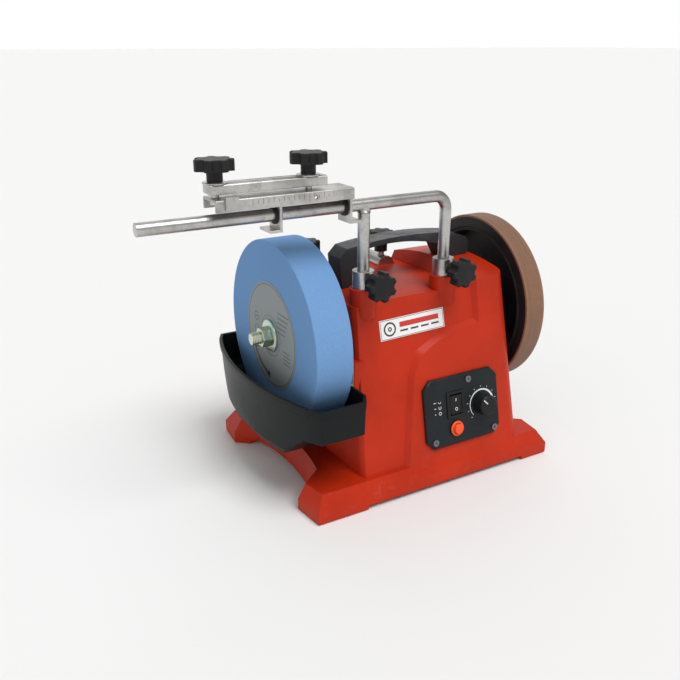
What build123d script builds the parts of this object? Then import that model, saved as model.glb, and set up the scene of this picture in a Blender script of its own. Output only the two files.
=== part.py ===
"""Wet grinding sharpener: a slow water-cooled grindstone and a leather honing wheel on one
shaft, driven by a friction spindle, with a tool support bar and a straight-edge jig.

Frame: origin at the centre of the footprint on the table, +X along the shaft towards the
honing wheel, -Y towards the user, +Z up. Millimetres.
"""

from build123d import *
from math import cos, hypot, pi, radians, sin, sqrt, tan
import os

os.makedirs("parts", exist_ok=True)

# ---------------------------------------------------------------- driving dimensions
# Wheels and shaft
SHAFT_HEIGHT = 160.0
SHAFT_D = 12.0
SHAFT_SHOULDER_D = 16.0
WHEEL_D = 200.0
WHEEL_W = 40.0
WHEEL_GAP = 10.0
LABEL_D = 114.0
LABEL_T = 0.4
CLAMP_WASHER_D = 34.0
CLAMP_WASHER_T = 2.5
NUT_ACROSS_FLATS = 19.0
NUT_T = 10.0
STUB = 10.0
INNER_FLANGE_D = 50.0
INNER_FLANGE_T = 4.0
HONING_D = 196.0
HONING_W = 25.0
HONING_GAP = 7.5
LEATHER_T = 3.0
HONING_RIM_T = 11.0
HONING_WEB_T = 6.0
HONING_HUB_D = 32.0
DRIVE_RING_T = 4.0
BUSH_WALL = 3.0
RUNNING_CLEARANCE = 0.05
BUSH_LENGTH = 24.0

# Housing
BASE_LEFT = -156.0
BASE_RIGHT = 150.0
BASE_DEPTH = 238.0
BASE_HEIGHT = 28.0
SKIRT_HEIGHT = 13.0
BASE_BEVEL = 9.0
WAIST_IN = 31.0
FOOT_PAD_DROP = 4.0
WALL = 3.0
BODY_LEFT = -92.0
BODY_RIGHT = 113.0
BODY_HALF_DEPTH = 110.0
BODY_TOP_HEIGHT = 205.0
BODY_TOP_LEFT = -84.0
BODY_TOP_RIGHT = 107.0
BODY_TOP_HALF_DEPTH = 74.0
BODY_CORNER_R = 14.0
SADDLE_HEIGHT = 200.0
SADDLE_CROWN = 3.0
TOWER_TOP = 219.0
TOWER_X = 56.0
RECESS = 5.0
BOTTOM_PLATE_T = 2.0
RUBBER_FOOT_D = 22.0
RUBBER_FOOT_T = 4.0
RUBBER_FOOT_OUT = 1.0

# Tool support
BAR_D = 12.0
BAR_HEIGHT = 300.0
BAR_Y = -61.5
BAR_LEFT = -290.0
BAR_BEND_R = 14.0
LEG_LEFT_X = -68.5
LEG_PITCH = 98.0
LEG_BOTTOM = 140.0
SLEEVE_D = 22.0
SLEEVE_BORE_GAP = 0.06
SLEEVE_TOP = 235.0
SLEEVE_LENGTH = 18.0
SLEEVE_SPIGOT_D = 18.0
SLEEVE_SPIGOT = 18.0
BOSS_D = 28.0
REAR_SLEEVE_Z = 201.0
REAR_SLEEVE_FRONT = 46.0
REAR_SLEEVE_LENGTH = 36.0
REAR_SLEEVE_END_WALL = 4.0

# Lock screws
LOCK_SCREW_D = 8.0
LOCK_PAD_D = 7.0
LOCK_PAD_T = 2.0
LOCK_TIP_GAP = 0.3
LOCK_KNOB_D = 30.0
LOCK_KNOB_T = 12.0
LOCK_HUB_D = 15.0
LOCK_HUB_GAP = 4.0
LOCK_HUB_LENGTH = 12.0

# Carry handle
HANDLE_WIDTH = 26.0
HANDLE_TOP = 250.0
HANDLE_THICK = 6.5

# Drive
ROLLER_D = 12.0
MOTOR_SHAFT_D = 10.0
DRIVE_GAP = 0.3
MOTOR_ANGLE = 27.0
MOTOR_CAN_D = 80.0
MOTOR_CAN_LENGTH = 112.0
MOTOR_RIGHT = 82.0
MOTOR_WALL = 2.5
BEARING_D = 22.0
BEARING_W = 7.0

# Control panel, measured along the sloping front
PANEL_X = 33.0
PANEL_WIDTH = 98.0
PANEL_LOW = 12.5
PANEL_HEIGHT = 75.0
PANEL_T = 4.0
PANEL_CORNER = 9.0
PANEL_OPENING = ((6.0, 20.0), (69.0, 74.0))
PANEL_SCREWS = ((-6.0, 20.0), (73.5, 19.5), (42.0, 80.5))
ROCKER_AT = (23.5, 56.5)
ROCKER_SIZE = (15.0, 20.0)
SPEED_KNOB_AT = (58.5, 49.5)
SPEED_KNOB_D = 22.0
SPEED_KNOB_H = 13.0
BUTTON_AT = (22.5, 30.0)
BUTTON_D = 11.0
GLAND_AT = (-70.0, 22.0)

# Straight-edge jig
JIG_RIGHT = -88.0
JIG_LENGTH = 136.0
JIG_WIDTH = 30.0
JIG_BAR_GAP = 3.5
JIG_CHANNEL_H = 10.5
JIG_SHEET = 2.5
JIG_BLADE_GAP = 3.5
JIG_CLAMP_T = 9.0
JIG_CLAMP_WIDTH = 18.0
JIG_CLAMP_LENGTH = 113.0
JIG_STUD_PITCH = 90.0
JIG_STUD_D = 6.0
JIG_KNOB_D = 35.0
JIG_KNOB_T = 10.0
JIG_BUSH_D = 17.0

# Water trough
TROUGH_WALL = 2.5
TROUGH_HALF_LENGTH = 122.0
TROUGH_RIM = 124.0
TROUGH_FLOOR_GAP = 6.0
TROUGH_BULGE = 34.0
TROUGH_END_DROP = 37.0
TROUGH_DRAFT = 3.0
TROUGH_BILGE = 14.0
CLIP_T = 1.2
CLIP_GAP = 0.3
CLIP_WIDTH = 16.0
CLIP_Y = 76.0

# ---------------------------------------------------------------- derived places
shaft_r = SHAFT_D / 2
wheel_inner_x = BODY_LEFT - WHEEL_GAP
wheel_outer_x = wheel_inner_x - WHEEL_W
honing_near_x = BODY_RIGHT + HONING_GAP
honing_far_x = honing_near_x + HONING_W
leg_right_x = LEG_LEFT_X + LEG_PITCH
leg_xs = (LEG_LEFT_X, leg_right_x)
bar_r = BAR_D / 2
sleeve_r = SLEEVE_D / 2
sleeve_bore_r = bar_r + SLEEVE_BORE_GAP
slope = (BODY_HALF_DEPTH - BODY_TOP_HALF_DEPTH) / (BODY_TOP_HEIGHT - BASE_HEIGHT)
drive_ring_r = HONING_D / 2 - LEATHER_T - HONING_RIM_T - DRIVE_RING_T
motor_offset = drive_ring_r - ROLLER_D / 2 - DRIVE_GAP
motor_y = motor_offset * sin(radians(MOTOR_ANGLE))
motor_z = SHAFT_HEIGHT - motor_offset * cos(radians(MOTOR_ANGLE))
bush_r = shaft_r + RUNNING_CLEARANCE + BUSH_WALL
sleeve_seat = SLEEVE_TOP - SLEEVE_LENGTH
lock_z = SLEEVE_TOP - SLEEVE_LENGTH / 2
lock_y = REAR_SLEEVE_FRONT + REAR_SLEEVE_END_WALL + 8
lock_bore_r = LOCK_SCREW_D / 2 + RUNNING_CLEARANCE
REAR = Plane(
    origin=(0, BODY_HALF_DEPTH, BASE_HEIGHT), x_dir=(-1, 0, 0), z_dir=(0, 1, slope)
)
FRONT = Plane(
    origin=(0, -BODY_HALF_DEPTH, BASE_HEIGHT), x_dir=(1, 0, 0), z_dir=(0, -1, slope)
)


def along_x(x, y=0.0, z=SHAFT_HEIGHT):
    """A plane whose normal is +X, with its origin on the given line."""
    return Plane(origin=(x, y, z), x_dir=(0, 1, 0), z_dir=(1, 0, 0))


def body_share(z):
    return (z - BASE_HEIGHT) / (BODY_TOP_HEIGHT - BASE_HEIGHT)


def body_left(z):
    return BODY_LEFT + (BODY_TOP_LEFT - BODY_LEFT) * body_share(z)


def body_right(z):
    return BODY_RIGHT + (BODY_TOP_RIGHT - BODY_RIGHT) * body_share(z)


def body_half_depth(z):
    return BODY_HALF_DEPTH - slope * (z - BASE_HEIGHT)


def write(piece, label):
    """Labels a finished sub-part and writes its STEP file."""
    piece.part.label = label
    export_step(piece.part, f"parts/{label}.step")


def disc(plane, radius, thickness, hole=0.0, mode=Mode.ADD):
    """A disc or ring that stands on a plane, made in the part builder around it."""
    with BuildSketch(plane) as ring:
        Circle(radius)
        if hole:
            Circle(hole, mode=Mode.SUBTRACT)
    extrude(ring.sketch, amount=thickness, mode=mode)


def block(x, y, z, mode=Mode.ADD):
    """A box between two corners in each direction."""
    with Locations(((x[0] + x[1]) / 2, (y[0] + y[1]) / 2, (z[0] + z[1]) / 2)):
        Box(x[1] - x[0], y[1] - y[0], z[1] - z[0], mode=mode)


# ---------------------------------------------------------------- housing
def base_outline(z, inset):
    """The footprint: four feet with waisted sides, drawn inset from the full size."""
    y_end = BASE_DEPTH / 2 - inset
    y_foot = BASE_DEPTH / 2 - 37
    y_root = BASE_DEPTH / 2 - 56
    left = BASE_LEFT + inset
    right = BASE_RIGHT - inset
    with BuildSketch(Plane.XY.offset(z)) as outline:
        with BuildLine():
            for end, way in ((right, 1), (left, -1)):
                corner = end - way * 4
                root = end - way * 23
                waist = end - way * WAIST_IN
                Line((end, -y_foot), (root, -y_root))
                ThreePointArc((root, -y_root), (waist, 0), (root, y_root))
                Line((root, y_root), (end, y_foot))
                Line((corner, -y_end), (end, -y_foot))
                Line((end, y_foot), (corner, y_end))
            Line((left + 4, -y_end), (right - 4, -y_end))
            Line((left + 4, y_end), (right - 4, y_end))
        make_face()
    return outline.sketch


def body_section(z, inset):
    """The rounded rectangle of the tapering body at one height."""
    with BuildSketch(Plane.XY.offset(z)) as section:
        with Locations(((body_left(z) + body_right(z)) / 2, 0)):
            RectangleRounded(
                body_right(z) - body_left(z) - 2 * inset,
                2 * body_half_depth(z) - 2 * inset,
                BODY_CORNER_R - inset,
            )
    return section.sketch


def saddle_cut(drop):
    """Removes what lies above the saddle and above the tower's domed top."""
    left = BODY_LEFT - 20
    right = BODY_RIGHT + 20
    low = SADDLE_HEIGHT - drop
    foot = TOWER_X + drop
    top = TOWER_TOP + 40
    with BuildSketch(Plane.XZ) as over_saddle:
        with BuildLine():
            ThreePointArc(
                (left, low - SADDLE_CROWN), ((left + foot) / 2, low + SADDLE_CROWN), (foot, low)
            )
            Line((foot, low), (foot + (top - low) * 0.3, top))
            Line((foot + (top - low) * 0.3, top), (left, top))
            Line((left, top), (left, low - SADDLE_CROWN))
        make_face()
    extrude(over_saddle.sketch, amount=BODY_HALF_DEPTH + 5, both=True, mode=Mode.SUBTRACT)
    front = BODY_HALF_DEPTH
    crest = TOWER_TOP - drop
    with BuildSketch(Plane.YZ) as over_tower:
        with BuildLine():
            ThreePointArc((-front, crest - 22), (0, crest), (front, crest - 22))
            Line((front, crest - 22), (front, top))
            Line((front, top), (-front, top))
            Line((-front, top), (-front, crest - 22))
        make_face()
    extrude(over_tower.sketch, amount=BODY_RIGHT + 10, both=True, mode=Mode.SUBTRACT)


def label_side(level, spread):
    """Outline of the set-back label side on the sloping front, grown by spread at its border."""
    top = BODY_TOP_HEIGHT + 30
    edge = TOWER_X + 5 + spread
    with BuildSketch(FRONT.offset(level)) as outline:
        with BuildLine():
            Line((edge, top), (edge, 143 - spread))
            ThreePointArc((edge, 143 - spread), (22, 136 - spread), (-18 + spread, 120 - spread))
            Line((-18 + spread, 120 - spread), (-28 + spread, 95))
            Line((-28 + spread, 95), (-48 + spread, -30))
            Line((-48 + spread, -30), (-160, -30))
            Line((-160, -30), (-160, top))
            Line((-160, top), (edge, top))
        make_face()
    return outline.sketch


def shaft_bosses():
    left = BODY_LEFT - 1
    right = BODY_RIGHT + 1
    boss_r = shaft_r + BUSH_WALL + 7
    disc(along_x(left), boss_r, BUSH_LENGTH + 2)
    disc(along_x(right - BUSH_LENGTH - 2), boss_r, BUSH_LENGTH + 2)


cavity_x = (BODY_LEFT - 15, BODY_RIGHT - WALL)
cavity_half_y = BASE_DEPTH / 2 - 17
pad_low = RUBBER_FOOT_OUT + FOOT_PAD_DROP
ledge_z = pad_low + BOTTOM_PLATE_T
ledge_w = 6.0
foot_places = [(x, y) for x in (BASE_LEFT + 22, BASE_RIGHT - 22) for y in (-98, 98)]
plate_screws = [(x, y) for x in (-80, 0, 80) for y in (3 - cavity_half_y, cavity_half_y - 3)]
screw_r = 2.0
screw_depth = 9.0
screw_head_r = 3.6
screw_head_t = 2.0
handle_posts = [
    (x, y, z - 5) for x, z in ((-57, SADDLE_HEIGHT), (80, TOWER_TOP - WALL)) for y in (-7, 7)
]
roller_hole_r = ROLLER_D / 2 + 4
clip_x = BODY_LEFT + 0.5
clip_ys = (-CLIP_Y, CLIP_Y)
clip_low = TROUGH_RIM - 8
clip_high = TROUGH_RIM + 24
gland_r = 7.0
vent_xs = [-45 + 15 * i for i in range(7)]
vent_size = (4, 34)
vent_s = 95

with BuildPart() as body_cavity:
    loft([body_section(BASE_HEIGHT - WALL - 1, WALL), body_section(TOWER_TOP + 10, WALL)])
    saddle_cut(WALL)
    loft(
        [label_side(-RECESS - WALL, 2), label_side(RECESS, 2 * RECESS + WALL + 2)],
        ruled=True,
        mode=Mode.SUBTRACT,
    )

with BuildPart() as housing_shell:
    loft([body_section(BASE_HEIGHT - 2, 0), body_section(TOWER_TOP + 10, 0)])
    saddle_cut(0)
    loft(
        [label_side(-RECESS, 0), label_side(RECESS, 2 * RECESS)], ruled=True, mode=Mode.SUBTRACT
    )
    extrude(base_outline(RUBBER_FOOT_OUT, 0), amount=SKIRT_HEIGHT - RUBBER_FOOT_OUT)
    loft([base_outline(SKIRT_HEIGHT, 0), base_outline(BASE_HEIGHT, BASE_BEVEL)], ruled=True)
    add(body_cavity.part, mode=Mode.SUBTRACT)
    inner_x = (cavity_x[0] + ledge_w, cavity_x[1] - ledge_w)
    inner_y = cavity_half_y - ledge_w
    block(inner_x, (-inner_y, inner_y), (0, BASE_HEIGHT - WALL), Mode.SUBTRACT)
    block(cavity_x, (-cavity_half_y, cavity_half_y), (0, ledge_z), Mode.SUBTRACT)
    # Relief between the four foot pads, sockets for the rubber feet, plate screw holes
    pad_x = (BASE_LEFT + 62, BASE_RIGHT - 40)
    block(pad_x, (-BASE_DEPTH, BASE_DEPTH), (0, pad_low), Mode.SUBTRACT)
    block((2 * BASE_LEFT, 2 * BASE_RIGHT), (-70, 70), (0, pad_low), Mode.SUBTRACT)
    with Locations(*[(x, y, RUBBER_FOOT_T / 2) for x, y in foot_places]):
        Cylinder(RUBBER_FOOT_D / 2, RUBBER_FOOT_T, mode=Mode.SUBTRACT)
    with Locations(*[(x, y, ledge_z + screw_depth / 2) for x, y in plate_screws]):
        Cylinder(screw_r, screw_depth, mode=Mode.SUBTRACT)
    # Bosses for the shaft, the front sleeves, the rear sleeves and the handle screws
    shaft_bosses()
    for x in leg_xs:
        boss_low = SADDLE_HEIGHT - 12
        disc(Plane((x, BAR_Y, boss_low)), BOSS_D / 2, sleeve_seat - boss_low)
        block(
            (x - BOSS_D / 2, x + BOSS_D / 2),
            (REAR_SLEEVE_FRONT + 2, BODY_TOP_HALF_DEPTH),
            (SADDLE_HEIGHT - 20, SADDLE_HEIGHT + 3),
        )
    for x, y, z in handle_posts:
        disc(Plane((x, y, z)), 5.0, 6.0)
    # Flat pads for the trough clips
    for y in clip_ys:
        block((clip_x, BODY_LEFT + 12), (y - CLIP_WIDTH / 2, y + CLIP_WIDTH / 2), (clip_low, clip_high))
    # Bores and openings
    disc(along_x(BODY_LEFT - 5), bush_r, BODY_RIGHT - BODY_LEFT + 10, mode=Mode.SUBTRACT)
    disc(along_x(BODY_RIGHT - 20, motor_y, motor_z), roller_hole_r, 30, mode=Mode.SUBTRACT)
    for x in leg_xs:
        seat = Plane((x, BAR_Y, sleeve_seat - SLEEVE_SPIGOT))
        disc(seat, SLEEVE_SPIGOT_D / 2, SLEEVE_SPIGOT + 1, mode=Mode.SUBTRACT)
        disc(seat, bar_r + 0.5, -40, mode=Mode.SUBTRACT)
        cradle = Plane(
            origin=(x, REAR_SLEEVE_FRONT, REAR_SLEEVE_Z), x_dir=(1, 0, 0), z_dir=(0, 1, 0)
        )
        disc(cradle, sleeve_r, REAR_SLEEVE_LENGTH + 10, mode=Mode.SUBTRACT)
    for x, y, z in handle_posts:
        disc(Plane((x, y, z)), screw_r, 30, mode=Mode.SUBTRACT)
    with BuildSketch(FRONT.offset(-20)) as modules:
        (x_low, s_low), (x_high, s_high) = PANEL_OPENING
        with Locations(((x_low + x_high) / 2, (s_low + s_high) / 2)):
            RectangleRounded(x_high - x_low, s_high - s_low, 3)
        with Locations(*PANEL_SCREWS):
            Circle(screw_r)
    extrude(modules.sketch, amount=25, mode=Mode.SUBTRACT)
    with BuildSketch(REAR.offset(-12)) as rear_holes:
        with Locations(GLAND_AT):
            Circle(gland_r)
        with Locations(*[(x, vent_s) for x in vent_xs]):
            RectangleRounded(*vent_size, 1.5)
    extrude(rear_holes.sketch, amount=20, mode=Mode.SUBTRACT)
write(housing_shell, "housing_shell")

with BuildPart() as bottom_plate:
    block(
        (cavity_x[0] + 0.3, cavity_x[1] - 0.3),
        (0.3 - cavity_half_y, cavity_half_y - 0.3),
        (pad_low, ledge_z),
    )
    with Locations(*[(x, y, pad_low) for x, y in plate_screws]):
        Cylinder(screw_r, 3 * BOTTOM_PLATE_T, mode=Mode.SUBTRACT)
    with Locations(*[(-60 + 12 * i, 40, pad_low) for i in range(11)]):
        Box(4, 50, 3 * BOTTOM_PLATE_T, mode=Mode.SUBTRACT)
write(bottom_plate, "bottom_plate")

with BuildPart() as rubber_feet:
    for x, y in foot_places:
        disc(Plane((x, y, 0)), RUBBER_FOOT_D / 2, RUBBER_FOOT_T)
write(rubber_feet, "rubber_feet")

with BuildPart() as base_screws:
    for x, y in plate_screws:
        disc(Plane((x, y, pad_low)), screw_r, BOTTOM_PLATE_T + screw_depth)
        disc(Plane((x, y, pad_low - screw_head_t)), screw_head_r, screw_head_t)
write(base_screws, "base_screws")

# ---------------------------------------------------------------- carry handle
with BuildPart() as carry_handle:
    under = HANDLE_TOP - HANDLE_THICK
    with BuildSketch(Plane.XZ):
        with BuildLine():
            ThreePointArc((-58, HANDLE_TOP - 6), (20, HANDLE_TOP), (78, HANDLE_TOP - 4))
            Line((78, HANDLE_TOP - 4), (98, HANDLE_TOP - 11))
            Line((98, HANDLE_TOP - 11), (102, HANDLE_TOP - 17))
            Line((102, HANDLE_TOP - 17), (100, TOWER_TOP - 2))
            Line((100, TOWER_TOP - 2), (70, TOWER_TOP - 2))
            Line((70, TOWER_TOP - 2), (60, under - 8))
            Line((60, under - 8), (44, under - 4))
            ThreePointArc((44, under - 4), (10, under), (-34, under - 2.5))
            Line((-34, under - 2.5), (-45, under - 9))
            Line((-45, under - 9), (-47, SADDLE_HEIGHT + 1))
            Line((-47, SADDLE_HEIGHT + 1), (-64, SADDLE_HEIGHT + 1))
            Line((-64, SADDLE_HEIGHT + 1), (-67, HANDLE_TOP - 15))
            Line((-67, HANDLE_TOP - 15), (-58, HANDLE_TOP - 6))
        make_face()
    extrude(amount=HANDLE_WIDTH / 2, both=True)
    add(housing_shell.part, mode=Mode.SUBTRACT)
    for x, y, z in handle_posts:
        disc(Plane((x, y, z)), screw_r, 16, mode=Mode.SUBTRACT)
write(carry_handle, "carry_handle")

with BuildPart() as handle_screws:
    for x, y, z in handle_posts:
        disc(Plane((x, y, z)), screw_r, 16)
        disc(Plane((x, y, z - screw_head_t)), screw_head_r, screw_head_t)
write(handle_screws, "handle_screws")

# ---------------------------------------------------------------- shaft and wheels
with BuildPart() as shaft_bushes:
    for x in (BODY_LEFT - 1, BODY_RIGHT + 1 - BUSH_LENGTH):
        disc(along_x(x), bush_r, BUSH_LENGTH, hole=shaft_r + RUNNING_CLEARANCE)
write(shaft_bushes, "shaft_bushes")

label_x = wheel_outer_x - LABEL_T
washer_x = label_x - CLAMP_WASHER_T
nut_x = washer_x - NUT_T
honing_nut_x = honing_far_x + CLAMP_WASHER_T
shaft_left_x = nut_x - STUB
shaft_right_x = honing_nut_x + NUT_T + 4

with BuildPart() as main_shaft:
    disc(along_x(shaft_left_x), shaft_r, shaft_right_x - shaft_left_x)
    shoulder_left = BODY_LEFT + BUSH_LENGTH
    shoulder_right = BODY_RIGHT - BUSH_LENGTH
    disc(along_x(shoulder_left), SHAFT_SHOULDER_D / 2, shoulder_right - shoulder_left)
write(main_shaft, "main_shaft")

with BuildPart() as grinding_wheel:
    disc(along_x(wheel_outer_x), WHEEL_D / 2, WHEEL_W, hole=shaft_r)
    rims = grinding_wheel.edges().filter_by(GeomType.CIRCLE).group_by(SortBy.RADIUS)[-1]
    chamfer(rims, 1.0)
write(grinding_wheel, "grinding_wheel")

with BuildPart() as wheel_label:
    disc(along_x(label_x), LABEL_D / 2, LABEL_T, hole=shaft_r)
write(wheel_label, "wheel_label")

with BuildPart() as wheel_inner_flange:
    disc(along_x(wheel_inner_x), INNER_FLANGE_D / 2, INNER_FLANGE_T, hole=shaft_r)
write(wheel_inner_flange, "wheel_inner_flange")

with BuildPart() as wheel_washer:
    disc(along_x(washer_x), CLAMP_WASHER_D / 2, CLAMP_WASHER_T, hole=shaft_r)
write(wheel_washer, "wheel_washer")

with BuildPart() as honing_washer:
    disc(along_x(honing_far_x), CLAMP_WASHER_D / 2, CLAMP_WASHER_T, hole=shaft_r)
write(honing_washer, "honing_washer")


def hex_nut(x):
    """A hexagon nut on the shaft, its corners turned off at both faces."""
    with BuildPart() as nut:
        with BuildSketch(along_x(x)):
            RegularPolygon(NUT_ACROSS_FLATS / 2, 6, major_radius=False)
            Circle(shaft_r, mode=Mode.SUBTRACT)
        extrude(amount=NUT_T)
        corner_r = NUT_ACROSS_FLATS / 2 / cos(pi / 6)
        with Locations(Location((x + NUT_T / 2, 0, SHAFT_HEIGHT), (0, 90, 0))):
            Cylinder(corner_r - 0.4, NUT_T, mode=Mode.INTERSECT)
    return nut


wheel_nut = hex_nut(nut_x)
write(wheel_nut, "wheel_nut")
honing_nut = hex_nut(honing_nut_x)
write(honing_nut, "honing_nut")

rim_outer_r = HONING_D / 2 - LEATHER_T
rim_inner_r = rim_outer_r - HONING_RIM_T
with BuildPart() as honing_hub:
    disc(along_x(honing_near_x), rim_outer_r, HONING_W, hole=rim_inner_r)
    disc(along_x(honing_far_x - HONING_WEB_T), rim_inner_r + 1, HONING_WEB_T, hole=shaft_r)
    hub_left = BODY_RIGHT + 3
    disc(along_x(hub_left), HONING_HUB_D / 2, honing_far_x - hub_left, hole=shaft_r)
write(honing_hub, "honing_hub")

with BuildPart() as honing_leather:
    disc(along_x(honing_near_x), HONING_D / 2, HONING_W, hole=rim_outer_r)
write(honing_leather, "honing_leather")

with BuildPart() as drive_ring:
    ring_w = HONING_W - HONING_WEB_T - 2
    disc(along_x(honing_near_x + 1), rim_inner_r, ring_w, hole=drive_ring_r)
write(drive_ring, "drive_ring")

# ---------------------------------------------------------------- motor
motor_left = MOTOR_RIGHT - MOTOR_CAN_LENGTH
can_r = MOTOR_CAN_D / 2
can_inner_r = can_r - MOTOR_WALL
journal_r = MOTOR_SHAFT_D / 2
bearing_xs = (motor_left, MOTOR_RIGHT - BEARING_W)
inside_left = motor_left + BEARING_W
inside_length = MOTOR_CAN_LENGTH - 2 * BEARING_W
bracket_t = 3.0
magnet_r = can_inner_r - 6
armature_r = magnet_r - 1
roller_left = BODY_RIGHT - 14
roller_right = honing_far_x - HONING_WEB_T - 3


def on_motor(x):
    return along_x(x, motor_y, motor_z)


with BuildPart() as motor_can:
    disc(on_motor(motor_left), can_r, MOTOR_CAN_LENGTH)
    disc(on_motor(inside_left), can_inner_r, inside_length, mode=Mode.SUBTRACT)
    disc(on_motor(motor_left), BEARING_D / 2, MOTOR_CAN_LENGTH, mode=Mode.SUBTRACT)
write(motor_can, "motor_can")

with BuildPart() as motor_bearings:
    for x in bearing_xs:
        disc(on_motor(x), BEARING_D / 2, BEARING_W, hole=journal_r + RUNNING_CLEARANCE)
write(motor_bearings, "motor_bearings")

with BuildPart() as motor_magnets:
    disc(on_motor(inside_left + 14), can_inner_r, inside_length - 28, hole=magnet_r)
    block(
        (motor_left, MOTOR_RIGHT),
        (motor_y - 6, motor_y + 6),
        (motor_z - can_r, motor_z + can_r),
        Mode.SUBTRACT,
    )
write(motor_magnets, "motor_magnets")

with BuildPart() as motor_shaft:
    disc(on_motor(motor_left), journal_r, roller_left - motor_left)
    disc(on_motor(roller_left), ROLLER_D / 2, roller_right - roller_left)
write(motor_shaft, "motor_shaft")

with BuildPart() as motor_armature:
    disc(on_motor(inside_left + 16), armature_r, inside_length - 32, hole=journal_r)
    disc(on_motor(inside_left + 4), armature_r / 2, 12, hole=journal_r)
write(motor_armature, "motor_armature")

with BuildPart() as motor_bracket:
    block((MOTOR_RIGHT, MOTOR_RIGHT + bracket_t), (motor_y - 42, motor_y + 42), (ledge_z, 130))
    block(
        (MOTOR_RIGHT - 40, MOTOR_RIGHT),
        (motor_y - 42, motor_y + 42),
        (ledge_z, ledge_z + bracket_t),
    )
    disc(on_motor(MOTOR_RIGHT), journal_r + 4, bracket_t, mode=Mode.SUBTRACT)
write(motor_bracket, "motor_bracket")

# ---------------------------------------------------------------- tool support
with BuildPart() as support_bar:
    with BuildLine(Plane.XZ.offset(-BAR_Y)) as route:
        FilletPolyline(
            (BAR_LEFT, BAR_HEIGHT),
            (leg_right_x, BAR_HEIGHT),
            (leg_right_x, LEG_BOTTOM),
            radius=BAR_BEND_R,
        )
    with BuildSketch(Plane(origin=route.line @ 0, z_dir=route.line % 0)):
        Circle(bar_r)
    sweep(path=route.line)
write(support_bar, "support_bar")

with BuildPart() as support_leg:
    disc(Plane((LEG_LEFT_X, BAR_Y, LEG_BOTTOM)), bar_r, BAR_HEIGHT - LEG_BOTTOM)
    add(support_bar.part, mode=Mode.SUBTRACT)
write(support_leg, "support_leg")

with BuildPart() as front_sleeves:
    for x in leg_xs:
        disc(Plane((x, BAR_Y, sleeve_seat)), sleeve_r, SLEEVE_LENGTH)
        disc(Plane((x, BAR_Y, sleeve_seat - SLEEVE_SPIGOT)), SLEEVE_SPIGOT_D / 2, SLEEVE_SPIGOT)
    for x in leg_xs:
        bottom = Plane((x, BAR_Y, sleeve_seat - SLEEVE_SPIGOT))
        disc(bottom, sleeve_bore_r, SLEEVE_LENGTH + SLEEVE_SPIGOT, mode=Mode.SUBTRACT)
        side = Plane(origin=(x, BAR_Y, lock_z), x_dir=(1, 0, 0), z_dir=(0, -1, 0))
        disc(side, lock_bore_r, SLEEVE_D, mode=Mode.SUBTRACT)
write(front_sleeves, "front_sleeves")

with BuildPart() as rear_sleeves:
    for x in leg_xs:
        end = Plane(
            origin=(x, REAR_SLEEVE_FRONT, REAR_SLEEVE_Z), x_dir=(1, 0, 0), z_dir=(0, 1, 0)
        )
        disc(end, sleeve_r, REAR_SLEEVE_LENGTH)
    for x in leg_xs:
        floor = Plane(
            origin=(x, REAR_SLEEVE_FRONT + REAR_SLEEVE_END_WALL, REAR_SLEEVE_Z),
            x_dir=(1, 0, 0),
            z_dir=(0, 1, 0),
        )
        disc(floor, sleeve_bore_r, REAR_SLEEVE_LENGTH, mode=Mode.SUBTRACT)
        disc(Plane((x, lock_y, REAR_SLEEVE_Z)), lock_bore_r, SLEEVE_D, mode=Mode.SUBTRACT)
write(rear_sleeves, "rear_sleeves")


# ---------------------------------------------------------------- lock screws
def star(radius, lobes):
    """A star-knob outline: a circle with rounded finger hollows."""
    hollow_r = radius * 0.27
    with BuildSketch() as outline:
        Circle(radius)
        with PolarLocations(radius * 1.07, lobes):
            Circle(hollow_r, mode=Mode.SUBTRACT)
        fillet(outline.vertices(), radius * 0.08)
    return outline.sketch


def star_knob(plane, radius, thickness, hub_r, hub_length, bore_r, bore_depth):
    """A star knob whose hub stands on the plane and points back along its normal."""
    with BuildPart(plane) as knob:
        with BuildSketch(plane.offset(hub_length)):
            add(star(radius, 7))
        extrude(amount=thickness)
        edges = knob.faces().sort_by(Axis(plane.origin, plane.z_dir))[-1].edges()
        fillet(edges, thickness * 0.15)
        disc(plane, hub_r, hub_length + thickness / 2)
        disc(plane, bore_r, bore_depth, mode=Mode.SUBTRACT)
    return knob


pad_start = bar_r + LOCK_TIP_GAP
screw_start = pad_start + LOCK_PAD_T
hub_start = sleeve_r + LOCK_HUB_GAP
screw_end = hub_start + LOCK_HUB_LENGTH + LOCK_KNOB_T / 2
side_names = ("left", "right")
for side, x in zip(side_names, leg_xs):
    lock_planes = {
        "front": Plane(origin=(x, BAR_Y, lock_z), x_dir=(1, 0, 0), z_dir=(0, -1, 0)),
        "rear": Plane(origin=(x, lock_y, REAR_SLEEVE_Z), x_dir=(1, 0, 0), z_dir=(0, 0, 1)),
    }
    for place, plane in lock_planes.items():
        with BuildPart() as lock_pad:
            disc(plane.offset(pad_start), LOCK_PAD_D / 2, LOCK_PAD_T)
        write(lock_pad, f"{place}_lock_pad_{side}")
        with BuildPart() as lock_screw:
            disc(plane.offset(screw_start), LOCK_SCREW_D / 2, screw_end - screw_start)
        write(lock_screw, f"{place}_lock_screw_{side}")
        lock_knob = star_knob(
            plane.offset(hub_start),
            LOCK_KNOB_D / 2,
            LOCK_KNOB_T,
            LOCK_HUB_D / 2,
            LOCK_HUB_LENGTH,
            LOCK_SCREW_D / 2,
            screw_end - hub_start,
        )
        write(lock_knob, f"{place}_lock_knob_{side}")

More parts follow.
